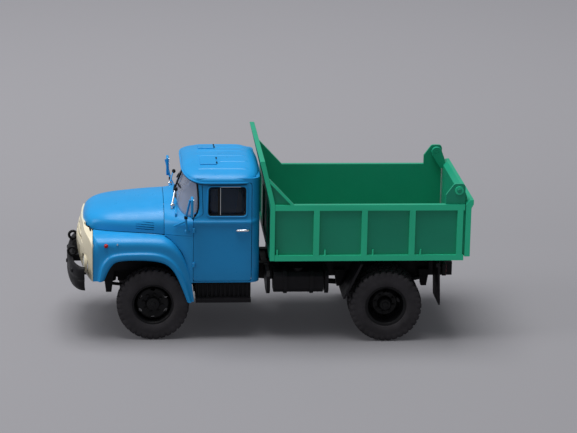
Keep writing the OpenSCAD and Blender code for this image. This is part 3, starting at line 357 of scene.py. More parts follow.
def bevelled_copy(node, look, width):
    """A piece with a CAD node's own shape, its flat faces joined and its edges broken."""
    source = frame["nodes"][node]
    bm = bmesh.new()
    bm.from_mesh(source.data)
    bmesh.ops.remove_doubles(bm, verts=bm.verts, dist=1e-6)
    bmesh.ops.dissolve_limit(bm, angle_limit=math.radians(1.0), verts=bm.verts, edges=bm.edges)
    piece = finish_mesh(node + "_shaped", bm, body_of(source)[0], look, SLOT_OF[node])
    modifier = bevel(piece, width)
    modifier.limit_method = "ANGLE"
    modifier.angle_limit = math.radians(28.0)
    modifier.harden_normals = True
    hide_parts(node)
    return piece


def grid_piece(name, rows, body, look, slot_name, closed=False, thickness=0.0, levels=0, angle=35.0):
    """A sheet through rows of points, each row as long as the others; closed joins the rows' ends."""
    bm = bmesh.new()
    verts = [[bm.verts.new(p) for p in row] for row in rows]
    count = len(rows[0])
    for upper, lower in zip(verts, verts[1:]):
        for i in range(count if closed else count - 1):
            j = (i + 1) % count
            bm.faces.new((upper[i], upper[j], lower[j], lower[i]))
    piece = finish_mesh(name, bm, body, look, slot_name, angle)
    if levels:
        modifier = piece.modifiers.new("smooth", "SUBSURF")
        modifier.levels = modifier.render_levels = levels
        modifier.boundary_smooth = "PRESERVE_CORNERS"
    if thickness:
        modifier = piece.modifiers.new("sheet", "SOLIDIFY")
        modifier.thickness = thickness * MM
        modifier.offset = -1.0
        modifier.use_even_offset = True
    return piece


def bake(piece, angle=35.0):
    """Applies a piece's modifiers to its mesh."""
    graph = bpy.context.evaluated_depsgraph_get()
    mesh = bpy.data.meshes.new_from_object(piece.evaluated_get(graph))
    piece.modifiers.clear()
    piece.data = mesh
    smooth(mesh, angle)


def cut_with(piece, cutters, operation="DIFFERENCE", angle=35.0):
    """Cuts a piece and removes the cutters."""
    for cutter in cutters:
        modifier = piece.modifiers.new("cut", "BOOLEAN")
        modifier.operation = operation
        modifier.solver = "EXACT"
        modifier.object = cutter
    bake(piece, angle)
    for cutter in cutters:
        bpy.data.objects.remove(cutter, do_unlink=True)


def rounded(points, radius, steps=5):
    """A closed 2D outline with its corners rounded; radius is one number or one for each corner."""
    made = []
    count = len(points)
    for i, corner in enumerate(points):
        here = Vector(corner)
        r = radius[i] if isinstance(radius, list) else radius
        before, after = Vector(points[i - 1]) - here, Vector(points[(i + 1) % count]) - here
        start = here + before.normalized() * min(r, before.length / 2)
        end = here + after.normalized() * min(r, after.length / 2)
        for k in range(steps + 1):
            t = k / steps
            made.append(tuple((1 - t) ** 2 * start + 2 * t * (1 - t) * here + t ** 2 * end))
    return made


def prism(outline, plane, low_mm, high_mm, group):
    """A closed solid: an outline in the plane "xz", "yz" or "xy", drawn out along the third axis."""
    bm = bmesh.new()

    def place(a, b, c):
        return {"xz": group(a, c, b), "yz": group(c, a, b), "xy": group(a, b, c)}[plane]

    near = [bm.verts.new(place(a, b, low_mm)) for a, b in outline]
    far = [bm.verts.new(place(a, b, high_mm)) for a, b in outline]
    bm.faces.new(near)
    bm.faces.new(far)
    for i in range(len(outline)):
        j = (i + 1) % len(outline)
        bm.faces.new((near[i], near[j], far[j], far[i]))
    bmesh.ops.recalc_face_normals(bm, faces=bm.faces)
    return link_mesh("prism", bm)


def side_prism(outline, side, inner, outer, group=front):
    """A prism of an xz outline between two distances from the middle, on one side of the vehicle."""
    return prism(outline, "xz", *sorted((side * inner, side * outer)), group)


def tube(name, points, radius, body, look, slot_name, closed=False):
    """A round bar along a line of points."""
    curve = bpy.data.curves.new(name, "CURVE")
    curve.dimensions = "3D"
    curve.bevel_depth = radius * MM
    curve.bevel_resolution = 3
    curve.use_fill_caps = True
    spline = curve.splines.new("POLY")
    spline.points.add(len(points) - 1)
    for target, p in zip(spline.points, points):
        target.co = (*p, 1)
    spline.use_cyclic_u = closed
    made = add_object(name, curve)
    dress(made, name, body, look, slot_name)
    return made


def turned(name, profile, turn, body, look, slot_name, steps=48, angle=35.0):
    """A turned piece: (radius, along) pairs spun about the local X axis, and then placed by turn(along, b, c)."""
    bm = bmesh.new()
    verts = []
    for k in range(steps):
        a = 2 * math.pi * k / steps
        verts.append([bm.verts.new(turn(x, r * math.cos(a), r * math.sin(a))) for r, x in profile])
    for k in range(steps):
        here, after = verts[k], verts[(k + 1) % steps]
        for i in range(len(profile) - 1):
            bm.faces.new((here[i], here[i + 1], after[i + 1], after[i]))
    bmesh.ops.remove_doubles(bm, verts=bm.verts, dist=1e-7)
    return finish_mesh(name, bm, body, look, slot_name, angle)


def replace_all(pieces, node):
    for piece in pieces:
        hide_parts(node)


def lerp(a, b, t):
    return a + (b - a) * t


def sampled(table, at):
    """The value at a place on a table of (place, value) pairs, joined by straight lines."""
    if at <= table[0][0]:
        return table[0][1]
    for (p0, v0), (p1, v1) in zip(table, table[1:]):
        if at <= p1:
            return lerp(v0, v1, (at - p0) / (p1 - p0))
    return table[-1][1]


def mirrored(points):
    """The points on the other side of the vehicle, in reverse order."""
    return [Vector((p.x, -p.y, p.z)) for p in reversed(points)]


def mirrored_row(half):
    """A row of points from the left side to the middle, carried on to the right side."""
    return half + mirrored([p for p in half if abs(p.y) > 1e-7])


# Cab

CAB_REAR_X = -34.9
CAB_CORNER_R = 3.2
CAB_WALL = 1.1
PILLAR_X = -14.9
SILL_Z = 19.6
DOOR_REAR_X = -32.2
DOOR_FRONT_X = -13.1
DOOR_TOP_Z = 53.2
DOOR_GAP = 0.09
# Distances from the middle between which the cutters of the doors and side windows lie
SIDE_CUT = (17, 30)
GLASS_SLOPE = 0.377
# Height and half width of the cab
CAB_HALF = [(19.6, 23.5), (21.5, 23.8), (40.6, 23.8), (41.4, 23.5), (54.6, 22.3)]
# Height and how far the ridge along the belt line stands out
BELT_RIDGE = [(38.4, 0.0), (39.1, 0.1), (39.7, 0.45), (40.3, 0.45), (40.7, 0.1), (41.1, 0.0)]
# Height and front edge of the cab's side walls: the door's front edge, then the windshield pillar
WALL_FRONT = [(19.6, -13.12), (41.0, -13.12), (41.6, -13.4), (42.6, -14.3), (43.4, -14.75), (46, -14.8),
              (53.4, -14.2), (54.6, -14.1)]
WALL_LEVELS = (19.6, 19.9, 20.6, 24, 30, 36, 38.4, 38.8, 39.1, 39.4, 39.7, 40.0, 40.3, 40.5, 40.7, 41.1, 41.4,
               42.0, 42.6, 43.2, 44, 46, 48, 50, 52, 53.6, 54.6)
DOOR_HANDLE = ((-31.3, 23.7, 37.6), (-31.3, 24.3, 37.6), (-30.9, 24.5, 37.6), (-27.6, 24.5, 37.5),
               (-27.3, 24.3, 37.5), (-27.3, 23.7, 37.5))
DOOR_HINGE = [(0.01, 0.85), (0.35, 0.8), (0.48, 0.65), (0.48, -0.65), (0.35, -0.8), (0.01, -0.85)]


def glass_front_x(z):
    return -7.6 - GLASS_SLOPE * (z - 45)


def wall_ring(z):
    """One level of the cab's walls, from the left pillar round to the middle of the rear."""
    half, start, straight_end = sampled(CAB_HALF, z), sampled(WALL_FRONT, z), CAB_REAR_X + CAB_CORNER_R
    turned_in = 0.35 if z > 42 else 0.0
    ring = [(start, half - turned_in), (start - 0.5, half - turned_in / 3), (start - 1.1, half)]
    ring += [(lerp(start - 1.1, straight_end, t), half) for t in (0.15, 0.3, 0.5, 0.7, 0.85)]
    for k in range(9):
        a = math.pi / 2 * k / 8
        ring.append((straight_end - CAB_CORNER_R * math.sin(a), half - CAB_CORNER_R * (1 - math.cos(a))))
    return ring + [(CAB_REAR_X, (half - CAB_CORNER_R) * t) for t in (0.66, 0.33, 0)]


def door_outline(grow):
    low, top = SILL_Z + 0.5 - grow, DOOR_TOP_Z + grow
    rear_x, front_x = DOOR_REAR_X - grow, DOOR_FRONT_X + grow
    return rounded([(rear_x, low), (front_x, low), (front_x, 41.2), (-16.3 + grow, 42.6), (-15.9 + grow, top),
                    (rear_x, top)], [1.0, 0.6, 0.8, 0.8, 1.2, 1.2])


def side_window_outline(grow=0.0):
    low, top, rear_x = 42.0 - grow, 52.0 + grow, -30.6 - grow
    return rounded([(rear_x, low), (-17.6 + grow, low), (-17.9 + grow, top), (rear_x, top)], 1.5 + grow)


def raise_belt_ridge(piece):
    for vertex in piece.data.vertices:
        x, y, z = vertex.co.x / MM - FRONT_X, vertex.co.y / MM, vertex.co.z / MM
        if abs(y) > sampled(CAB_HALF, z) - 0.5:
            share = min(1.0, max(0.0, (x - CAB_REAR_X - 1.2) / 2.0))
            vertex.co.y += math.copysign(sampled(BELT_RIDGE, z) * share * MM, y)


def build_door(shell, side, tag):
    """The door's skin is cut out of a copy of the cab's wall."""
    node = "door_" + tag
    door = shell.copy()
    door.data = shell.data.copy()
    door.name = node + "_panel"
    bpy.context.collection.objects.link(door)
    cut_with(door, [side_prism(door_outline(-DOOR_GAP), side, *SIDE_CUT)], "INTERSECT")
    cut_with(door, [side_prism(side_window_outline(), side, *SIDE_CUT)])
    raise_belt_ridge(door)
    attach(door, "chassis")
    handle = [front(x, side * y, z) for x, y, z in DOOR_HANDLE]
    pieces = [door, tube("door_handle_" + tag, handle, 0.38, *ALL_CHROME)]
    for z in (37.5, 25.8):

        def at_hinge(x, b, c):
            return front(-13.35 + b, side * (23.95 + c), z + x)

        pieces.append(turned(f"door_hinge_{tag}_{int(z)}", DOOR_HINGE, at_hinge, *ALL_BLUE, steps=20))
    replace_all(pieces, node)


def build_cab():
    rows = [mirrored_row([front(x, y, z) for x, y in wall_ring(z)]) for z in WALL_LEVELS]
    shell = grid_piece("cab_walls", rows, *ALL_BLUE, thickness=CAB_WALL)
    bake(shell)
    rear_window = rounded([(-10.5, 43.6), (10.5, 43.6), (10.5, 52.2), (-10.5, 52.2)], 1.8)
    cut_with(shell, [prism(rear_window, "yz", -40, -28, front)])
    for side, tag in SIDES:
        build_door(shell, side, tag)
    cut_with(shell, [side_prism(door_outline(DOOR_GAP), side, *SIDE_CUT) for side, _ in SIDES])
    raise_belt_ridge(shell)
    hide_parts("cab_shell")


# Roof

ROOF_X = -22.4
ROOF_HALF_L = 12.7
ROOF_HALF_W = 22.9
ROOF_TOP = 57.8
ROOF_POWER = 4.6
ROOF_CROWN = 0.0045
ROOF_STEPS = 112
# Drop and outward growth of the rings of the roof's rolled edge
ROOF_LIP = ((0.55, -0.9), (0.55, 0.35), (0.25, 0.45), (0.05, 0.35), (0.0, 0.02))
ROOF_SHARES = (0.9985, 0.995, 0.99, 0.983, 0.973, 0.96, 0.94, 0.915, 0.885, 0.85, 0.8, 0.72, 0.62, 0.5, 0.36,
               0.2, 0.04)
# Open edges above this height lie round the roof's middle
ROOF_MIDDLE_Z = 56.5
# Distance from a rib's middle line and share of its height
ROOF_RIB = ((-1.0, 0), (-0.65, 0.75), (0, 1), (0.65, 0.75), (1.0, 0))


def roof_share(x, y):
    """0 at the middle of the roof, 1 at its edge."""
    return (abs((x - ROOF_X) / ROOF_HALF_L) ** ROOF_POWER + abs(y / ROOF_HALF_W) ** ROOF_POWER) ** (1 / ROOF_POWER)


def roof_edge_z(x):
    ahead = max(0.0, (x - ROOF_X - 6) / (ROOF_HALF_L - 6))
    behind = max(0.0, (ROOF_X - 9 - x) / (ROOF_HALF_L - 9))
    return 53.4 + 2.1 * ahead ** 1.6 + 0.9 * behind ** 2


def roof_z(x, y):
    share, edge = min(1.0, roof_share(x, y)), roof_edge_z(x)
    end = min(1.0, abs((x - ROOF_X) / ROOF_HALF_L))
    top = ROOF_TOP - ROOF_CROWN * y * y - 0.9 * end ** 5
    return edge + (top - edge) * (1 - share ** 11) ** 0.42


def roof_ring(scale, drop=0.0, grow=0.0):
    """The roof's outline at a share of its size, grown outwards and lowered by a drop."""
    made = []
    for k in range(ROOF_STEPS):
        a = 2 * math.pi * k / ROOF_STEPS
        c, s = math.cos(a), math.sin(a)
        reach = (abs(c) ** ROOF_POWER + abs(s) ** ROOF_POWER) ** (-1 / ROOF_POWER)
        x = ROOF_X + c * reach * (ROOF_HALF_L * scale + grow)
        y = s * reach * (ROOF_HALF_W * scale + grow)
        z = roof_z(ROOF_X + c * reach * ROOF_HALF_L * scale, s * reach * ROOF_HALF_W * scale)
        made.append(front(x, y, z - drop))
    return made


def build_roof_ribs():
    for y in (-16.2, -9.7, -3.2, 3.2, 9.7, 16.2):
        # The two ribs in line with the hatches start behind them
        start_x = -14.2 if abs(y) > 13 or abs(y) < 6 else -21.6
        rows = []
        for k in range(25):
            x = lerp(start_x, -31.6, k / 24)
            rise = 0.28 * math.sin(math.pi * min(1, min(k, 24 - k) / 3) / 2)
            rows.append([front(x, y + dy, roof_z(x, y + dy) + h * rise - 0.04) for dy, h in ROOF_RIB])
        grid_piece(f"roof_rib_{int(y * 10 + 200)}", rows, *ALL_BLUE, levels=1, angle=60)


def build_roof_hatches():
    for y, tag in ((-10, "right"), (10, "left")):
        rows = []
        for i in range(9):
            x = lerp(-21.0, -15.6, i / 8)
            across = [y + lerp(-3.4, 3.4, j / 8) for j in range(9)]
            rows.append([front(x, at, roof_z(x, at) + 0.3) for at in across])
        hatch = grid_piece("roof_hatch_" + tag, rows, *ALL_BLUE, thickness=0.6)
        bake(hatch)
        bevel(hatch, 0.12)
        x = -21.1
        for dy, mark in ((-2.3, "b"), (2.3, "a")):
            z = roof_z(x, y + dy) + 0.38
            tube(f"hatch_hinge_{tag[0]}_{mark}", [front(x, y + dy - 0.35, z), front(x, y + dy + 0.35, z)], 0.24,
                 "chassis", SEAL, "blue_paint")


def build_roof():
    rows = [roof_ring(1.0, drop, grow) for drop, grow in ROOF_LIP] + [roof_ring(share) for share in ROOF_SHARES]
    roof = grid_piece("roof_dome", rows, *ALL_BLUE, closed=True, thickness=0.7, angle=50)
    bm = bmesh.new()
    bm.from_mesh(roof.data)
    middle = [e for e in bm.edges if e.is_boundary and min(v.co.z for v in e.verts) > ROOF_MIDDLE_Z * MM]
    bmesh.ops.holes_fill(bm, edges=middle, sides=ROOF_STEPS)
    bm.to_mesh(roof.data)
    bm.free()
    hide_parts("cab_roof")
    # A dark rubber bar under the roof's rolled edge: a painted shadow line beneath the gutter
    tube("roof_edge_painted_shadow", roof_ring(1.0, 0.72, 0.05), 0.2, *ALL_SEAL, closed=True)
    build_roof_ribs()
    build_roof_hatches()


# Hood and cowl

HOOD_SEAM_X = -3.6
HOOD_LENGTH = 26.2
# Distance back from the hood's nose, height of its middle, its half width
HOOD_PROFILE = [(0, 36.3, 14.3), (0.12, 37.3, 14.4), (0.35, 38.3, 14.6), (0.8, 39.3, 14.9), (1.6, 40.2, 15.3),
                (2.8, 41.0, 15.9), (4.2, 41.6, 16.5), (6.4, 42.2, 17.4), (9.4, 42.7, 18.1), (12.4, 43.05, 18.6),
                (15.6, 43.4, 19.0), (19, 43.75, 19.4), (22.6, 44.05, 19.65), (HOOD_LENGTH, 44.3, 19.8)]
# Share of the half width, share of the height over the seam at the rear and at the nose
HOOD_SECTION = [(0, 1, 1), (0.16, 0.99, 0.99), (0.32, 0.965, 0.965), (0.46, 0.925, 0.93), (0.58, 0.875, 0.885),
                (0.68, 0.815, 0.84), (0.77, 0.745, 0.79), (0.85, 0.66, 0.73), (0.91, 0.565, 0.66),
                (0.955, 0.455, 0.57), (0.982, 0.34, 0.45), (0.993, 0.2, 0.28), (1.0, 0.0, 0.0)]
# Distance from the middle and front edge of the hood
NOSE_PLAN = [(0, 23.2), (7, 23.0), (10, 22.4), (12.5, 21.5), (14.3, 20.4), (16, 19.4)]
# Place along the vehicle and height of the seam between hood and fender
SEAM_LINE = [(-13.2, 35.6), (-3.6, 35.1), (2.2, 35.45), (7.8, 35.65), (15.4, 35.7), (23, 35.6)]
# Rear edge of the cowl at each share of HOOD_SECTION: under the windshield, then down the door's front edge
COWL_EDGE = {0: (-7.3, 0, 44.7), 0.16: (-7.35, 3.6, 44.65), 0.32: (-7.7, 7.4, 44.4), 0.46: (-8.3, 11, 43.95),
             0.58: (-9.1, 14, 43.35), 0.68: (-10, 16.6, 42.6), 0.77: (-11, 19, 41.85), 0.85: (-12.1, 21.1, 41.3),
             0.91: (-13.05, 22.9, 40.9), 0.955: (-13.05, 23.75, 40.3), 0.982: (-13.05, 23.9, 39.6),
             0.993: (-13.05, 23.8, 38.2), 1.0: (-13.05, 23.8, 35.6)}
LOUVRES = 4
LOUVRE_TOP_Z = 38.75
LOUVRE_PITCH = 0.74
# Height and front edge of the panel between cowl, fender and door
KICK_FRONT = [(18.9, -12.6), (25.5, -11.2), (29.7, -9.6), (33.6, -6.2), (35.2, -3.75)]


def hood_point(back, share):
    """A point of the hood: distance back from the nose, and place across from the middle (0) to the side (1)."""
    half = sampled([(d, w) for d, _, w in HOOD_PROFILE], back)
    top = sampled([(d, z) for d, z, _ in HOOD_PROFILE], back)
    rel_rear = sampled([(s, r) for s, r, _ in HOOD_SECTION], share)
    rel_nose = sampled([(s, n) for s, _, n in HOOD_SECTION], share)
    rel = lerp(rel_nose, rel_rear, min(1.0, back / 12))
    nose_x = sampled(NOSE_PLAN, share * 14.3)
    x = nose_x - back * (nose_x - HOOD_SEAM_X) / HOOD_LENGTH
    seam_z = sampled(SEAM_LINE, x) + 0.1
    return Vector((x, share * half, seam_z + rel * (top - seam_z)))


def smooth_panel(name, rows, thickness, look=ALL_BLUE):
    """A panel rounded by two levels of subdivision."""
    panel = grid_piece(name, rows, *look, thickness=thickness, levels=2, angle=60)
    bake(panel, 50)
    return panel


def build_hood():
    rows = [mirrored_row([front(*hood_point(back, share)) for share, _, _ in reversed(HOOD_SECTION)])
            for back, _, _ in HOOD_PROFILE]
    hood = smooth_panel("hood_skin", rows, 0.8)
    louvres = []
    for side, _ in SIDES:
        for i in range(LOUVRES):
            z = LOUVRE_TOP_Z - i * LOUVRE_PITCH
            outline = rounded([(-0.4, z - 0.13), (5.5, z + 0.27), (5.5, z + 0.51), (-0.4, z + 0.11)], 0.1)
            louvres.append(side_prism(outline, side, 18.6, 20.6))
    cut_with(hood, louvres, angle=50)
    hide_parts("hood")


def build_cowl():
    rows = []
    for t in (0, 0.06, 0.2, 0.4, 0.6, 0.8, 0.94, 1.0):
        half = []
        for share, _, _ in reversed(HOOD_SECTION):
            start, end = hood_point(HOOD_LENGTH, share), Vector(COWL_EDGE[share])
            start.x -= 0.16
            p = start.lerp(end, t)
            p.y += 0.5 * math.sin(math.pi * t) * share ** 3
            half.append(front(*p))
        rows.append(mirrored_row(half))
    smooth_panel("cowl", rows, 0.8)


def build_kick_panels():
    """The cab's lower side between the cowl, the fender's rear edge and the door."""
    for side, tag in SIDES:
        rows = []
        for t in (0, 0.25, 0.5, 0.75, 1.0):
            row = []
            for z in (35.5, 34, 32.5, 31, 29.7, 27.6, 25.5, 23, 21, 19.6):
                x = lerp(-13.05, sampled(KICK_FRONT, z), t)
                y = 23.8 - 0.36 * max(0, x + 12.6) ** 1.02
                row.append(front(x, side * y, z if z < 35.5 else sampled(SEAM_LINE, x) - 0.06))
            rows.append(row)
        panel = grid_piece("kick_panel_" + tag, rows, *ALL_BLUE, levels=1, thickness=0.8 * side, angle=50)
        bake(panel, 50)


def build_floor_and_firewall():
    plan = [(-33.6, 22.6), (-13.0, 22.6), (-13.0, 13.4), (-7.9, 13.4)]
    plan += [(x, -y) for x, y in reversed(plan)]
    floor = prism(rounded(plan, 0.4, 2), "xy", 22.55, 23.6, front)
    wall = [(-13.4, 22.6), (-13.4, 30), (-19.6, 36), (-19.6, 42.2), (-10, 44.2), (10, 44.2), (19.6, 42.2),
            (19.6, 36), (13.4, 30), (13.4, 22.6)]
    firewall = prism(rounded(wall, 0.6, 3), "yz", -7.9, -7.2, front)
    for thing, name in ((floor, "cab_floor_panel"), (firewall, "firewall")):
        dress(thing, name, *ALL_BLUE)
        bevel(thing, 0.1)


# Fenders

# Stations (x, z) along the wheel arch's lip, and the stations across from them on the outer outline
ARCH = [(16.6, 20.6), (15.9, 22.4), (15.2, 24.0), (14.4, 25.5), (13.5, 26.6), (13.1, 26.95), (12.8, 27.15),
        (12.4, 27.35), (11.8, 27.6), (9.6, 28.0), (5.6, 28.1), (1.7, 28.0), (-1.4, 27.7), (-4.1, 26.9),
        (-6.0, 25.4), (-7.6, 23.2), (-8.9, 20.4), (-10.2, 17.2), (-11.8, 13.2)]
OUTLINE = [(19.6, 20.4), (19.6, 24.0), (19.6, 27.5), (19.6, 30.5), (19.6, 33.4), (19.6, 34.5), (19.6, 34.95),
           (19.3, 35.05), (18.0, 35.1), (14.0, 35.2), (9.6, 35.25), (4.6, 35.25), (0.2, 35.1), (-3.8, 34.9),
           (-6.7, 33.6), (-9.2, 30.6), (-11.0, 27.0), (-12.3, 22.8), (-13.5, 13.2)]
# Distance from the arch's lip and how far out that line of the fender lies
LIP = [(-0.55, 24.6), (0, 25.35), (0.4, 25.5), (1.6, 25.5), (2.05, 25.35), (2.4, 24.75), (3.0, 24.55)]
# Share of the way from the lip to the outline, and half width there
SHOULDER = [(0.56, 24.5), (0.68, 24.35), (0.78, 23.9), (0.86, 23.1), (0.93, 21.9), (0.975, 20.6), (1.0, 19.9)]
# Plate that closes the wheel well towards the engine
APRON = [(19.2, 20.8), (19.2, 35.0), (5.7, 34.9), (-3.8, 34.6), (-6.6, 33.4), (-8.0, 31.0), (-8.0, 23),
         (16.6, 20.8)]


def fender_row(side, arch, outline):
    """One station of the fender: over the lip, up to the shoulder and inwards to the hood's side."""
    x, z = outline
    lip, edge = Vector(arch), Vector(outline)
    length, toward = (edge - lip).length, (edge - lip).normalized()
    # The shoulder turns in over the wheel, and stays out at the front and down at the rear
    ahead = x > 2.4
    turn_in = min(1.0, max(0.0, (z - 32.4) / 2.4 if ahead else (z - 21.0) / 13.0))
    row = []
    for d, y in LIP:
        p = lip + toward * min(d, length * (0.1 + 0.13 * d))
        row.append(front(p.x, side * y, p.y))
    for share, y in SHOULDER:
        p = lip + toward * length * share
        flat_y = lerp(24.55, 24.2, share) if ahead else lerp(24.6, 23.95, share)
        row.append(front(p.x, side * lerp(flat_y, y, turn_in), p.y))
    beside_hood = x > -3.9
    shelf_y = hood_point(max(0.0, 20.4 - x) * 1.09, 1.0).y + 0.12 if beside_hood else 19.3
    rise = (sampled(SEAM_LINE, x) - 0.05 - z) * turn_in if beside_hood else 0.0
    edge_y, end_y = lerp(flat_y, SHOULDER[-1][1], turn_in), lerp(flat_y - 1.0, shelf_y, turn_in)
    return row + [front(x, side * lerp(edge_y, end_y, t), z + rise * t) for t in (0.5, 1.0)]


def build_fenders():
    for side, tag in SIDES:
        rows = [fender_row(side, arch, outline) for arch, outline in zip(ARCH, OUTLINE)]
        fender = smooth_panel(f"fender_{tag}_skin", rows, 0.9)
        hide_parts("fender_" + tag)
        dress(side_prism(rounded(APRON, 0.3, 2), side, 14.0, 14.7), "wheel_well_" + tag, *ALL_BLACK)
        # Roof of the wheel well, from the apron out to behind the lip
        ceiling = []
        for arch, outline in zip(ARCH, OUTLINE):
            p = Vector(arch).lerp(Vector(outline), 0.34)
            ceiling.append([front(p.x, side * y, p.y) for y in (14.3, 18, 22, 24.3)])
        roof = grid_piece("well_roof_" + tag, ceiling, *ALL_BLACK, levels=1, thickness=0.4, angle=60)
        bake(roof, 50)


# Glass

PANE_Z = 48
PANE_INSET = 0.35
# Distance from the middle, place along the vehicle and height of the windshield's lower edge
BASE_CURVE = [(0, -7.45, 44.8), (7.4, -7.85, 44.5), (11, -8.45, 44.05), (14, -9.25, 43.5),
              (16.6, -10.15, 42.7), (19, -11.2, 42.0), (21.1, -12.6, 41.9), (22.6, -14.5, 43.2)]
# Distance from the middle and height of the windshield's upper edge
PANE_TOP = [(0, 55.2), (12, 55.0), (18, 54.3), (23, 53.7)]
PILLAR_SEAL = ((-14.5, 22.6, 43.2), (-14.75, 22.75, 45), (-14.7, 22.65, 48), (-14.5, 22.45, 51),
               (-14.2, 22.2, 53.4))


def windshield_line():
    """The pane's plan at the level PANE_Z, from the middle round to the pillar."""
    half, nose_x = sampled(CAB_HALF, PANE_Z), glass_front_x(PANE_Z)
    reach_x, reach_y = nose_x - PILLAR_X + 0.4, 15.5
    line = [(nose_x - 0.10 * t * t, t * (half - reach_y)) for t in (0, 0.35, 0.7)]
    for k in range(15):
        a = math.pi / 2 * k / 14
        line.append((nose_x - 0.1 - reach_x * (1 - math.cos(a)), half - reach_y * (1 - math.sin(a))))
    return [(x - PANE_INSET, y - PANE_INSET * y / 23) for x, y in line if x >= -14.75]


def build_glass():
    rows = []
    for k in range(13):
        row = []
        for plan_x, y in windshield_line():
            low = sampled([(across, height) for across, _, height in BASE_CURVE], y) - 0.5
            z = lerp(low, sampled(PANE_TOP, y), k / 12)
            lean = -GLASS_SLOPE * (z - PANE_Z) * (1 - (y / 24.5) ** 4)
            row.append(front(plan_x + lean, y - 0.02 * max(0, z - PANE_Z), z))
        rows.append(mirrored(row[1:]) + row)
    pane = grid_piece("windshield_pane", rows, "chassis", WINDSHIELD_PAINTED_LIGHT, "clear_glass", thickness=0.35, angle=60)
    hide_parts("windshield")
    panes = []
    for side, tag in SIDES:
        rows = [[wall_point(x, z, side, -0.62) for x in (-30.9, -26, -21.4, -17.3)] for z in (41.7, 45, 49, 52.3)]
        panes.append(grid_piece("side_pane_" + tag, rows, *ALL_GLASS_PAINTED_SHADE, thickness=0.3))
    rows = [[front(CAB_REAR_X + 0.65, y, z) for y in (-10.8, -5, 0, 5, 10.8)] for z in (43.4, 46, 49, 52.4)]
    panes.append(grid_piece("rear_pane", rows, *ALL_GLASS_PAINTED_SHADE, thickness=0.3))
    replace_all(panes, "cab_windows")


def wall_point(x, z, side, out):
    return front(x, side * (sampled(CAB_HALF, z) + out), z)


def build_window_frames():
    """Seals and bright frames round the glass."""
    for side, tag in SIDES:
        lip = [wall_point(x, z, side, 0.0) for x, z in side_window_outline(0.05)]
        tube("side_window_lip_" + tag, lip, 0.3, *ALL_BLUE, closed=True)
        seal = [wall_point(x, z, side, -0.32) for x, z in side_window_outline(-0.28)]
        tube("side_window_seal_" + tag, seal, 0.3, *ALL_SEAL, closed=True)
        divider = [wall_point(-21.4, z, side, -0.3) for z in (42.2, 45, 48, 51.8)]
        tube("window_divider_" + tag, divider, 0.3, *ALL_SEAL)
        bright = [wall_point(-21.95, z, side, -0.28) for z in (42.3, 45, 48, 51.7)]
        tube("window_divider_bright_" + tag, bright, 0.16, *ALL_CHROME)
        glass_top = [wall_point(x, 51.75, side, -0.2) for x in (-28.6, -25, -22)]
        tube("glass_top_bright_" + tag, glass_top, 0.2, *ALL_CHROME)
    base = [front(x, y, z) for y, x, z in BASE_CURVE]
    base = mirrored(base[1:]) + base
    tube("windshield_seal_base", base, 0.3, *ALL_SEAL)
    tube("windshield_trim_base", [p + Vector((0.45, 0, -0.12)) * MM for p in base], 0.22, *ALL_BLUE)
    for side, tag in SIDES:
        pillar = [front(x, side * y, z) for x, y, z in PILLAR_SEAL]
        tube("windshield_seal_pillar_" + tag, pillar, 0.3, *ALL_SEAL)
    divider = [front(glass_front_x(z) + 0.15, 0, z) for z in (45.3, 48, 51, 54.6)]
    tube("windshield_divider", divider, 0.3, *ALL_SEAL)


# Grille panel, lamps and bumper

# Height and front of the grille panel at its middle
GRILLE_TOP = [(20.4, 22.9), (21.2, 23.6), (24, 24.5), (27, 25.15), (30, 25.4), (32.4, 25.0), (34.2, 24.4),
              (35.8, 23.85), (37.2, 23.6)]
# Height and half width of the panel
GRILLE_HALF = [(20.4, 24.3), (29.5, 24.55), (31.5, 24.35), (33, 23.6), (34.1, 22.2), (34.8, 20.4), (35.3, 18.2),
               (35.8, 15.3), (37.2, 12.0)]
# Distance from the middle and how far the panel falls back there
GRILLE_DROP = [(0, 0), (6, 0.2), (10, 0.7), (13, 1.25), (16, 2.0), (18, 2.7), (20, 3.55), (22, 4.5), (23.6, 5.3),
               (24.6, 5.85)]
GRILLE_LEVELS = (20.4, 20.9, 22, 24, 26, 28, 30, 31.6, 33, 34.1, 34.8, 35.3, 35.8, 36.5, 37.2)
GRILLE_CUT = (17, 28)
GRILLE_SLOTS = 8
SLOT_PITCH = 1.62
SLOT_W = 1.1
LAMP_Y = 18
LAMP_Z = 25.2
LAMP_BOWL = [(0.01, -2.2), (1.4, -1.9), (2.3, -1.1), (2.75, 0.1), (2.9, 0.25), (3.0, -0.2), (2.9, -2.6)]
LAMP_LENS = [(0.01, 1.05), (1.0, 0.98), (1.9, 0.75), (2.5, 0.42), (2.8, 0.1), (2.78, -0.15)]
LAMP_RING = [(2.72, 0.05), (2.82, 0.4), (3.05, 0.5), (3.25, 0.3), (3.25, -0.5)]
MARKER = [(0.01, 0.75), (0.35, 0.68), (0.6, 0.4), (0.68, 0), (0.68, -0.3)]
MARKER_SCREW = [(0.01, 0.35), (0.22, 0.3), (0.3, 0.05), (0.3, -0.2)]
# Front of the bumper and distance from the middle
BUMPER_PLAN = [(28.5, 0), (28.45, 4), (28.3, 8), (27.95, 12), (27.5, 16), (27.0, 18.4), (26.2, 20.8), (25.2, 22.8),
               (24.3, 23.8), (23.3, 24.35), (22.5, 24.5)]
# How far the bumper's face falls back, and height
BUMPER_SECTION = [(-1.5, 17.0), (-0.9, 17.1), (-0.35, 18.1), (-0.05, 19.2), (0.0, 20.0), (-0.1, 20.5),
                  (-0.3, 20.8), (-0.3, 21.4), (-0.1, 21.7), (0.0, 22.2), (0.0, 23.6), (-0.15, 24.5),
                  (-0.5, 24.95), (-1.0, 25.05), (-1.6, 25.0)]
BUMPER_BOLT = [(0.01, 0.5), (0.5, 0.45), (0.8, 0.15), (0.85, -0.4)]


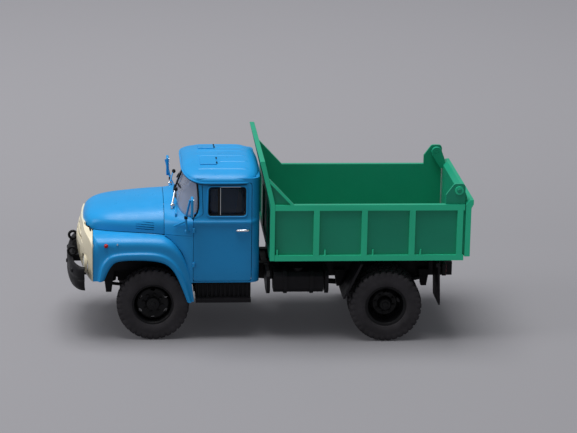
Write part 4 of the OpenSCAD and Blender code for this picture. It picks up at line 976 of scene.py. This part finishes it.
def grille_x(y, z):
    crown = sampled(GRILLE_TOP, z)
    return crown - sampled(GRILLE_DROP, abs(y)) * (crown - 19.75) / 5.85


def grille_cutters(side):
    """Two long slots over a row of upright ones, and the lamp's bowl."""
    outlines = []
    for z, end in ((34.4, 12.6), (32.6, 16.2)):
        outline = [(1.2, z + 0.45), (1.2, z - 0.45), (end - 2, z - 0.5), (end, z - 1.6), (end + 0.6, z - 0.9),
                   (end - 1.4, z + 0.45)]
        outlines.append(rounded([(side * y, z) for y, z in outline], 0.4, 3))
    for i in range(GRILLE_SLOTS):
        near = 1.0 + i * SLOT_PITCH
        far = near + SLOT_W
        outline = [(near, 31.0 - 0.02 * i * i), (far, 31.0 - 0.02 * (i + 1) ** 2), (far, 23.4), (near, 23.4)]
        outlines.append(rounded([(side * y, z) for y, z in outline], 0.3, 2))
    angles = [2 * math.pi * k / 40 for k in range(40)]
    outlines.append([(side * LAMP_Y + 3.05 * math.cos(a), LAMP_Z + 3.05 * math.sin(a)) for a in angles])
    return [prism(outline, "yz", *GRILLE_CUT, front) for outline in outlines]


def build_grille():
    rows = []
    for z in GRILLE_LEVELS:
        half = sampled(GRILLE_HALF, z)
        edge_x = grille_x(half, z)
        back_x = 19.72 if z < 35.9 else edge_x - 0.3
        row = [front(back_x, half, z), front(lerp(back_x, edge_x, 0.6), half, z)]
        row += [front(grille_x(half * s, z), half * s, z) for s in
                (1, 0.97, 0.92, 0.85, 0.77, 0.68, 0.58, 0.47, 0.36, 0.24, 0.12, 0)]
        rows.append(mirrored_row(row))
    panel = smooth_panel("grille_skin", rows, 0.9, ALL_CREAM)
    cut_with(panel, [cutter for side, _ in SIDES for cutter in grille_cutters(side)], angle=50)
    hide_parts("grille_panel")
    rows = [[front(grille_x(y, z) - 1.7, y, z) for y in (-17, -14, -10, -5, 0, 5, 10, 14, 17)]
            for z in (22.6, 25, 28, 31, 34, 36.4)]
    grid_piece("radiator_mesh", rows, "chassis", MESH, "black_plastic", levels=1, thickness=0.3)


def build_lamps():
    for side, tag in SIDES:

        def at_lamp(x, b, c):
            return front(22.0 + x, side * LAMP_Y + b, LAMP_Z + c)

        pieces = [turned("lamp_bowl_" + tag, LAMP_BOWL, at_lamp, *ALL_CHROME),
                  turned("lamp_lens_" + tag, LAMP_LENS, at_lamp, "chassis", LENS, "lamp_glass"),
                  turned("lamp_ring_" + tag, LAMP_RING, at_lamp, *ALL_CREAM)]
        replace_all(pieces, "head_lamps")
        turned("side_marker_" + tag, MARKER, lambda x, b, c: front(15.3 + b, side * (24.5 + x), 32.5 + c),
               "chassis", RED_LENS, "red_plastic", steps=24)
        turned("marker_screw_" + tag, MARKER_SCREW, lambda x, b, c: front(11.6 + b, side * (24.5 + x), 33.0 + c),
               *ALL_CHROME, steps=20)


def build_bumper():
    rows = []
    last = len(BUMPER_PLAN) - 1
    for inset, z in BUMPER_SECTION:
        half = []
        for i, (x, y) in enumerate(BUMPER_PLAN):
            along = (Vector(BUMPER_PLAN[min(last, i + 1)]) - Vector(BUMPER_PLAN[max(0, i - 1)])).normalized()
            half.append(front(x + along.y * inset, y - along.x * inset if i else 0.0, z))
        rows.append(mirrored_row(half[::-1]))
    bumper = smooth_panel("bumper_skin", rows, 0.7, ALL_BLACK)
    for side, tag in SIDES:
        for y in (8.2, 19.6):
            face_x = sampled([(v, u) for u, v in BUMPER_PLAN], y)
            turned(f"bumper_bolt_{tag[0]}_{int(y)}", BUMPER_BOLT,
                   lambda x, b, c: front(face_x + x - 0.1, side * y + b, 23 + c), *ALL_BLACK, steps=24)
        plan = [(18.8, side * 8.9), (27.6, side * 8.9), (27.6, side * 7.4), (18.8, side * 7.4)]
        bracket = prism(rounded(plan, 0.3, 2), "xy", 18.2, 20.2, front)
        dress(bracket, "bumper_bracket_" + tag, *ALL_BLACK)
    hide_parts("front_bumper")


# Mirrors and wipers

# Centre of the head, the arm's knee and foot and the brace's foot, on the left and on the right
MIRRORS = [((-12.6, 27.4, 46.2), (-10.6, 25.4, 42.3), (-11.0, 23.9, 37.2), (-6.9, 22.0, 38.5)),
           ((-6.0, 27.4, 46.6), (-6.9, 25.2, 42.5), (-9.6, 23.6, 37.2), (-5.6, 21.6, 38.5))]
MIRROR_CLAMP = [(0.01, -0.5), (0.5, -0.5), (0.58, -0.3), (0.58, 0.3), (0.5, 0.5), (0.01, 0.5)]
MIRROR_FOOT = [(0.01, 0.45), (0.5, 0.4), (0.75, 0.1), (0.75, -0.3)]
WIPER_PIVOT = [(0.01, 0.8), (0.45, 0.68), (0.75, 0.25), (0.75, -0.1), (0.55, -0.55), (0.6, -0.9)]
WIPER_JOINT = [(0.01, -0.8), (0.5, -0.75), (0.62, -0.4), (0.62, 0.4), (0.5, 0.75), (0.01, 0.8)]
BLADE_Z = 48.4


def build_mirrors():
    for (side, tag), (head, knee, foot, brace_foot) in zip(SIDES, MIRRORS):
        hx, hy, hz = head

        def at(x, y, z):
            return front(x, side * y, z)

        outline = [(hy - 2.1, hz - 3.2), (hy + 2.0, hz - 3.2), (hy + 2.0, hz + 3.3), (hy - 2.1, hz + 3.3)]
        outline = rounded([(side * y, z) for y, z in outline], 0.8)
        shell = prism(outline, "yz", hx - 0.35, hx + 0.5, front)
        face = [(y + (side * hy - y) * 0.12, z + (hz - z) * 0.08) for y, z in outline]
        pane = prism(face, "yz", hx - 0.45, hx - 0.3, front)
        dress(shell, "mirror_shell_" + tag, *ALL_BLUE)
        dress(pane, "mirror_glass_" + tag, *ALL_CHROME)
        for piece, edge in ((shell, 0.22), (pane, 0.03)):
            bevel(piece, edge, 3)
            smooth(piece.data, 40)
        arm_x, arm_z = hx + 0.75, hz + 2.3
        arm = [at(arm_x, hy - 0.6, arm_z), at(lerp(arm_x, knee[0], 0.5), hy - 0.9, lerp(arm_z, knee[2], 0.5)),
               at(*knee),
               at(lerp(knee[0], foot[0], 0.5), lerp(knee[1], foot[1], 0.6), lerp(knee[2], foot[2], 0.5)),
               at(*foot)]
        brace = [at(*Vector(knee).lerp(Vector(foot), 0.25)), at(*brace_foot)]
        pieces = [shell, pane, tube("mirror_arm_" + tag, arm, 0.36, *ALL_BLUE),
                  tube("mirror_brace_" + tag, brace, 0.3, *ALL_BLUE),
                  turned("mirror_clamp_" + tag, MIRROR_CLAMP,
                         lambda x, b, c: front(knee[0] + b, side * knee[1] + c, knee[2] + x), *ALL_SEAL, steps=20),
                  turned("mirror_foot_" + tag, MIRROR_FOOT,
                         lambda x, b, c: at(foot[0] + b, foot[1] - 0.1 + x, foot[2] + c), *ALL_BLUE, steps=20)]
        replace_all(pieces, "mirrors")


def build_wipers():
    for side, tag in SIDES:
        base, elbow = front(-6.5, side * 14.6, 43.5), front(-7.0, side * 13.4, 46.2)
        joint = front(-7.5, side * 12.2, BLADE_Z)
        blade = [front(glass_front_x(BLADE_Z) + 0.55 - 0.012 * y * y, side * y, BLADE_Z - 0.02 * y)
                 for y in (4.5, 8, 11, 13.5, 16.2)]
        pieces = [turned("wiper_pivot_" + tag, WIPER_PIVOT, lambda x, b, c: base + Vector((b, c, x)) * MM,
                         *ALL_CHROME, steps=24),
                  tube("wiper_arm_" + tag, [base + Vector((0, 0, 0.5)) * MM, elbow, joint], 0.32, *ALL_CHROME),
                  tube("wiper_blade_" + tag, blade, 0.28, *ALL_SEAL),
                  turned("wiper_joint_" + tag, WIPER_JOINT, lambda x, b, c: joint + Vector((b - 0.2, x, c)) * MM,
                         *ALL_SEAL, steps=20)]
        replace_all(pieces, "wipers")


# Wheels

TYRE_R = 12.0
TYRE_HALF = 3.0
TREAD_HALF = TYRE_HALF * 0.84
LUGS = 34
LUG_STEPS = 8
BLOCK_SHARE = 0.66
TREAD_DEPTH = 0.55
# Half width and radius of the tyre's outer line, from the bead to the edge of the tread
TYRE_SIDE = [(1.9, 6.55), (2.15, 6.75), (2.5, 6.85), (2.75, 7.15), (2.8, 7.5), (2.86, 7.6), (2.93, 7.75),
             (3.0, 8.5), (3.0, 9.3), (2.96, 9.6), (2.97, 9.75), (2.96, 10.2), (2.9, 10.85), (2.78, 11.45)]
TREAD_ACROSS = (1.0, 0.97, 0.86, 0.74, 0.62, 0.52, 0.44, 0.38, 0.28, 0.18, 0.10, 0.05, 0.0)

# Radius and place along the axle, outwards from the wheel's middle: the ring, and the discs on both sides of it
RIM_RING = [(6.3, 2.25), (6.75, 2.35), (6.95, 2.1), (6.9, 1.7), (6.7, 1.4), (6.6, 0.4), (6.5, -1.4), (6.9, -2.2),
            (6.6, -2.4)]
FRONT_DISC = [(0.01, 2.9), (0.5, 2.85), (0.9, 2.6), (1.0, 2.3), (1.5, 2.2), (2.05, 1.9), (2.15, 1.5), (2.2, 0.7),
              (2.5, 0.45), (3.2, 0.5), (3.9, 0.75), (4.6, 0.95), (5.1, 0.8), (5.5, 0.2), (5.75, -0.4), (5.95, 0.4),
              (6.05, 1.9), *RIM_RING, (6.0, -2.2), (5.9, -1.5), (4.6, -0.2), (3.0, -0.6), (2.4, -1.4), (1.3, -1.6)]
OUTER_DISC = [(0.01, 1.6), (0.6, 1.55), (1.0, 1.3), (1.1, 0.9), (1.7, 0.8), (2.1, 0.4), (2.2, -0.8), (2.5, -1.4),
              (3.2, -1.5), (3.9, -1.4), (4.5, -1.7), (4.9, -2.1), (5.3, -1.6), (5.6, -0.4), (5.75, 0.8),
              (5.9, 1.9), *RIM_RING, (6.0, -2.3), (5.6, -2.6), (4.6, -2.5), (3.0, -2.1), (2.2, -2.4), (1.3, -2.6)]
INNER_DISC = [(1.2, 1.5), (2.2, 1.6), (3.2, 1.6), (4.5, 1.2), (5.3, 0.8), (5.6, 1.4), (5.9, 1.9), *RIM_RING,
              (6.0, -2.2), (5.4, 0.1), (3.0, 0.8), (1.2, 0.8)]
NUT = [(0.01, 0.75), (0.22, 0.72), (0.26, 0.5), (0.42, 0.45), (0.46, 0.35), (0.46, -0.15)]
NUTS = 8
NUT_CIRCLE_R = 3.05
HOLES = 6


def tread_radius(across, phase):
    """Radius of the tread: blocks set off from side to side, two grooves along and a zigzag in the middle."""
    crown = TYRE_R - 0.16 * across * across
    turn = (phase + (0.5 if across < 0 else 0) + 0.35 * abs(across)) % 1.0
    wave = 0.07 * (1 if turn < 0.5 else -1)
    groove = turn > BLOCK_SHARE or abs(abs(across) - 0.48) < 0.035 or abs(across - wave) < 0.045
    return crown - (TREAD_DEPTH if groove else 0)


def sidewall(phase):
    """One side of the tyre, whose two outermost lines follow the blocks of the tread."""
    block = phase % 1.0 <= BLOCK_SHARE
    line = list(TYRE_SIDE)
    line[-1] = (line[-1][0] + (0.12 if block else -0.12), line[-1][1])
    line[-2] = (line[-2][0] + (0.12 if block else -0.02), line[-2][1])
    return line


def build_tyre(name, body, place, node):
    steps = LUGS * LUG_STEPS
    shares = TREAD_ACROSS + tuple(-share for share in reversed(TREAD_ACROSS[:-1]))
    bm = bmesh.new()
    rings = []
    for k in range(steps):
        phase, turn = (k % LUG_STEPS + 0.5) / LUG_STEPS, 2 * math.pi * k / steps
        c, s = math.cos(turn), math.sin(turn)
        ring = sidewall(phase + 0.35)
        ring += [(share * TREAD_HALF, tread_radius(share, phase)) for share in shares]
        ring += [(-w, r) for w, r in reversed(sidewall(phase + 0.85))]
        rings.append([bm.verts.new(place(w, r * c, r * s)) for w, r in ring])
    for k in range(steps):
        here, after = rings[k], rings[(k + 1) % steps]
        for i in range(-1, len(here) - 1):
            bm.faces.new((here[i], here[i + 1], after[i + 1], after[i]))
    tyre = finish_mesh(name, bm, body, RUBBER, "tyre_rubber", 38)
    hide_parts(node)


def disc_hole(angle, radius):
    """A hand hole of the disc: an oval across the radius."""
    outline = []
    for k in range(16):
        t = 2 * math.pi * k / 16
        radial, around = radius + 0.42 * math.sin(t), 0.85 * math.cos(t)
        outline.append((radial * math.cos(angle) - around * math.sin(angle),
                        TYRE_R + radial * math.sin(angle) + around * math.cos(angle)))
    return outline


def build_wheel(name, axle, group, y, side, disc, nut_base=None, holes_at=None):
    body, rim_node, black = axle + "_wheelset", axle + "_rims", (WHEEL_BLACK, "black_plastic")

    def place(x, b, c):
        return group(b, side * (y + x), TYRE_R + c)

    build_tyre(name + "_tyre", body, place, axle + "_tyres")
    rim = turned(name + "_rim", disc, place, body, *black, steps=72, angle=30)
    if holes_at:
        # The cutters go through the disc inside the rim's ring
        holes = [disc_hole(2 * math.pi * (i + 0.5) / HOLES, holes_at) for i in range(HOLES)]
        cut_with(rim, [side_prism(hole, side, y - 3.4, y + 3, group) for hole in holes], angle=30)
    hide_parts(rim_node)
    for i in range(NUTS if nut_base else 0):
        a = 2 * math.pi * i / NUTS + 0.2
        cx, cz = NUT_CIRCLE_R * math.cos(a), NUT_CIRCLE_R * math.sin(a)
        nut = turned(f"{name}_nut_{i}", NUT, lambda x, b, c: place(nut_base + x, cx + b, cz + c), body, *black,
                     steps=6, angle=20)
        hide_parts(rim_node)


def build_wheels():
    for side, tag in SIDES:
        build_wheel("front_" + tag, "front", front, 20.8, side, FRONT_DISC, 0.5, 4.75)
        build_wheel("rear_outer_" + tag, "rear", rear, 24.3, side, OUTER_DISC, -1.45, 4.55)
        build_wheel("rear_inner_" + tag, "rear", rear, 17.3, side, INNER_DISC)


# Moulded pieces whose form comes from the CAD

# Look and edge radius
EDGED = {
    "bed_floor": (GREEN, 0.12), "bed_front_wall": (GREEN, 0.16), "bed_side_left": (GREEN, 0.16),
    "bed_side_right": (GREEN, 0.16), "tailgate_panel": (GREEN, 0.16), "frame": (BLACK, 0.12),
    "subframe": (BLACK, 0.12), "fuel_tank": (BLACK, 0.14), "step_left": (BLACK, 0.1), "step_right": (BLACK, 0.1),
    "rear_guards": (BLACK, 0.12), "mud_flaps": (BLACK, 0.12), "tail_lamps": (BLACK, 0.15),
    "engine_gearbox": (BLACK, 0.3), "seat_bench": (INTERIOR_WITH_PAINTED_SHADE, 0.5), "dashboard": (INTERIOR_WITH_PAINTED_SHADE, 0.4),
    "bed_sills": (BLACK, 0.12), "tailgate_pins": (GREEN, 0.15),
}
BED_HALF = 28.4
RIB_OUT = 0.8


def second_look(piece, look, chosen):
    """Gives a second material to the faces chosen by their distance from the middle (mm) and their normal: the
    bed's painted highlight, the tail lamps' red lens.
    """
    piece.data.materials.append(look)
    for face in piece.data.polygons:
        if chosen(abs(face.center.y) / MM, face.normal):
            face.material_index = 1


def build_edged():
    """The bed's ribs, rails and gate edges get a lighter green, a painted highlight of the light they catch from
    above; the tail lamps are red at the rear only.
    """
    pieces = {node: bevelled_copy(node, look, width) for node, (look, width) in EDGED.items()}
    for node in ("bed_side_left", "bed_side_right"):
        second_look(pieces[node], GREEN_PAINTED_HIGHLIGHT, lambda y, normal: y > BED_HALF - RIB_OUT + 0.1)
    for node in ("tailgate_panel", "bed_front_wall"):
        second_look(pieces[node], GREEN_PAINTED_HIGHLIGHT, lambda y, normal: y > BED_HALF - 0.2)
    second_look(pieces["tail_lamps"], RED_LENS, lambda y, normal: normal.x < -0.7)


for node_name, node_object in frame["nodes"].items():
    node_object.data.materials.clear()
    node_object.data.materials.append(SLOT_MATERIALS[SLOT_OF[node_name]])

add_camera()
add_stage()
build_cab()
build_roof()
build_hood()
build_cowl()
build_kick_panels()
build_floor_and_firewall()
build_fenders()
build_glass()
build_window_frames()
build_grille()
build_lamps()
build_bumper()
build_mirrors()
build_wipers()
build_wheels()
build_edged()
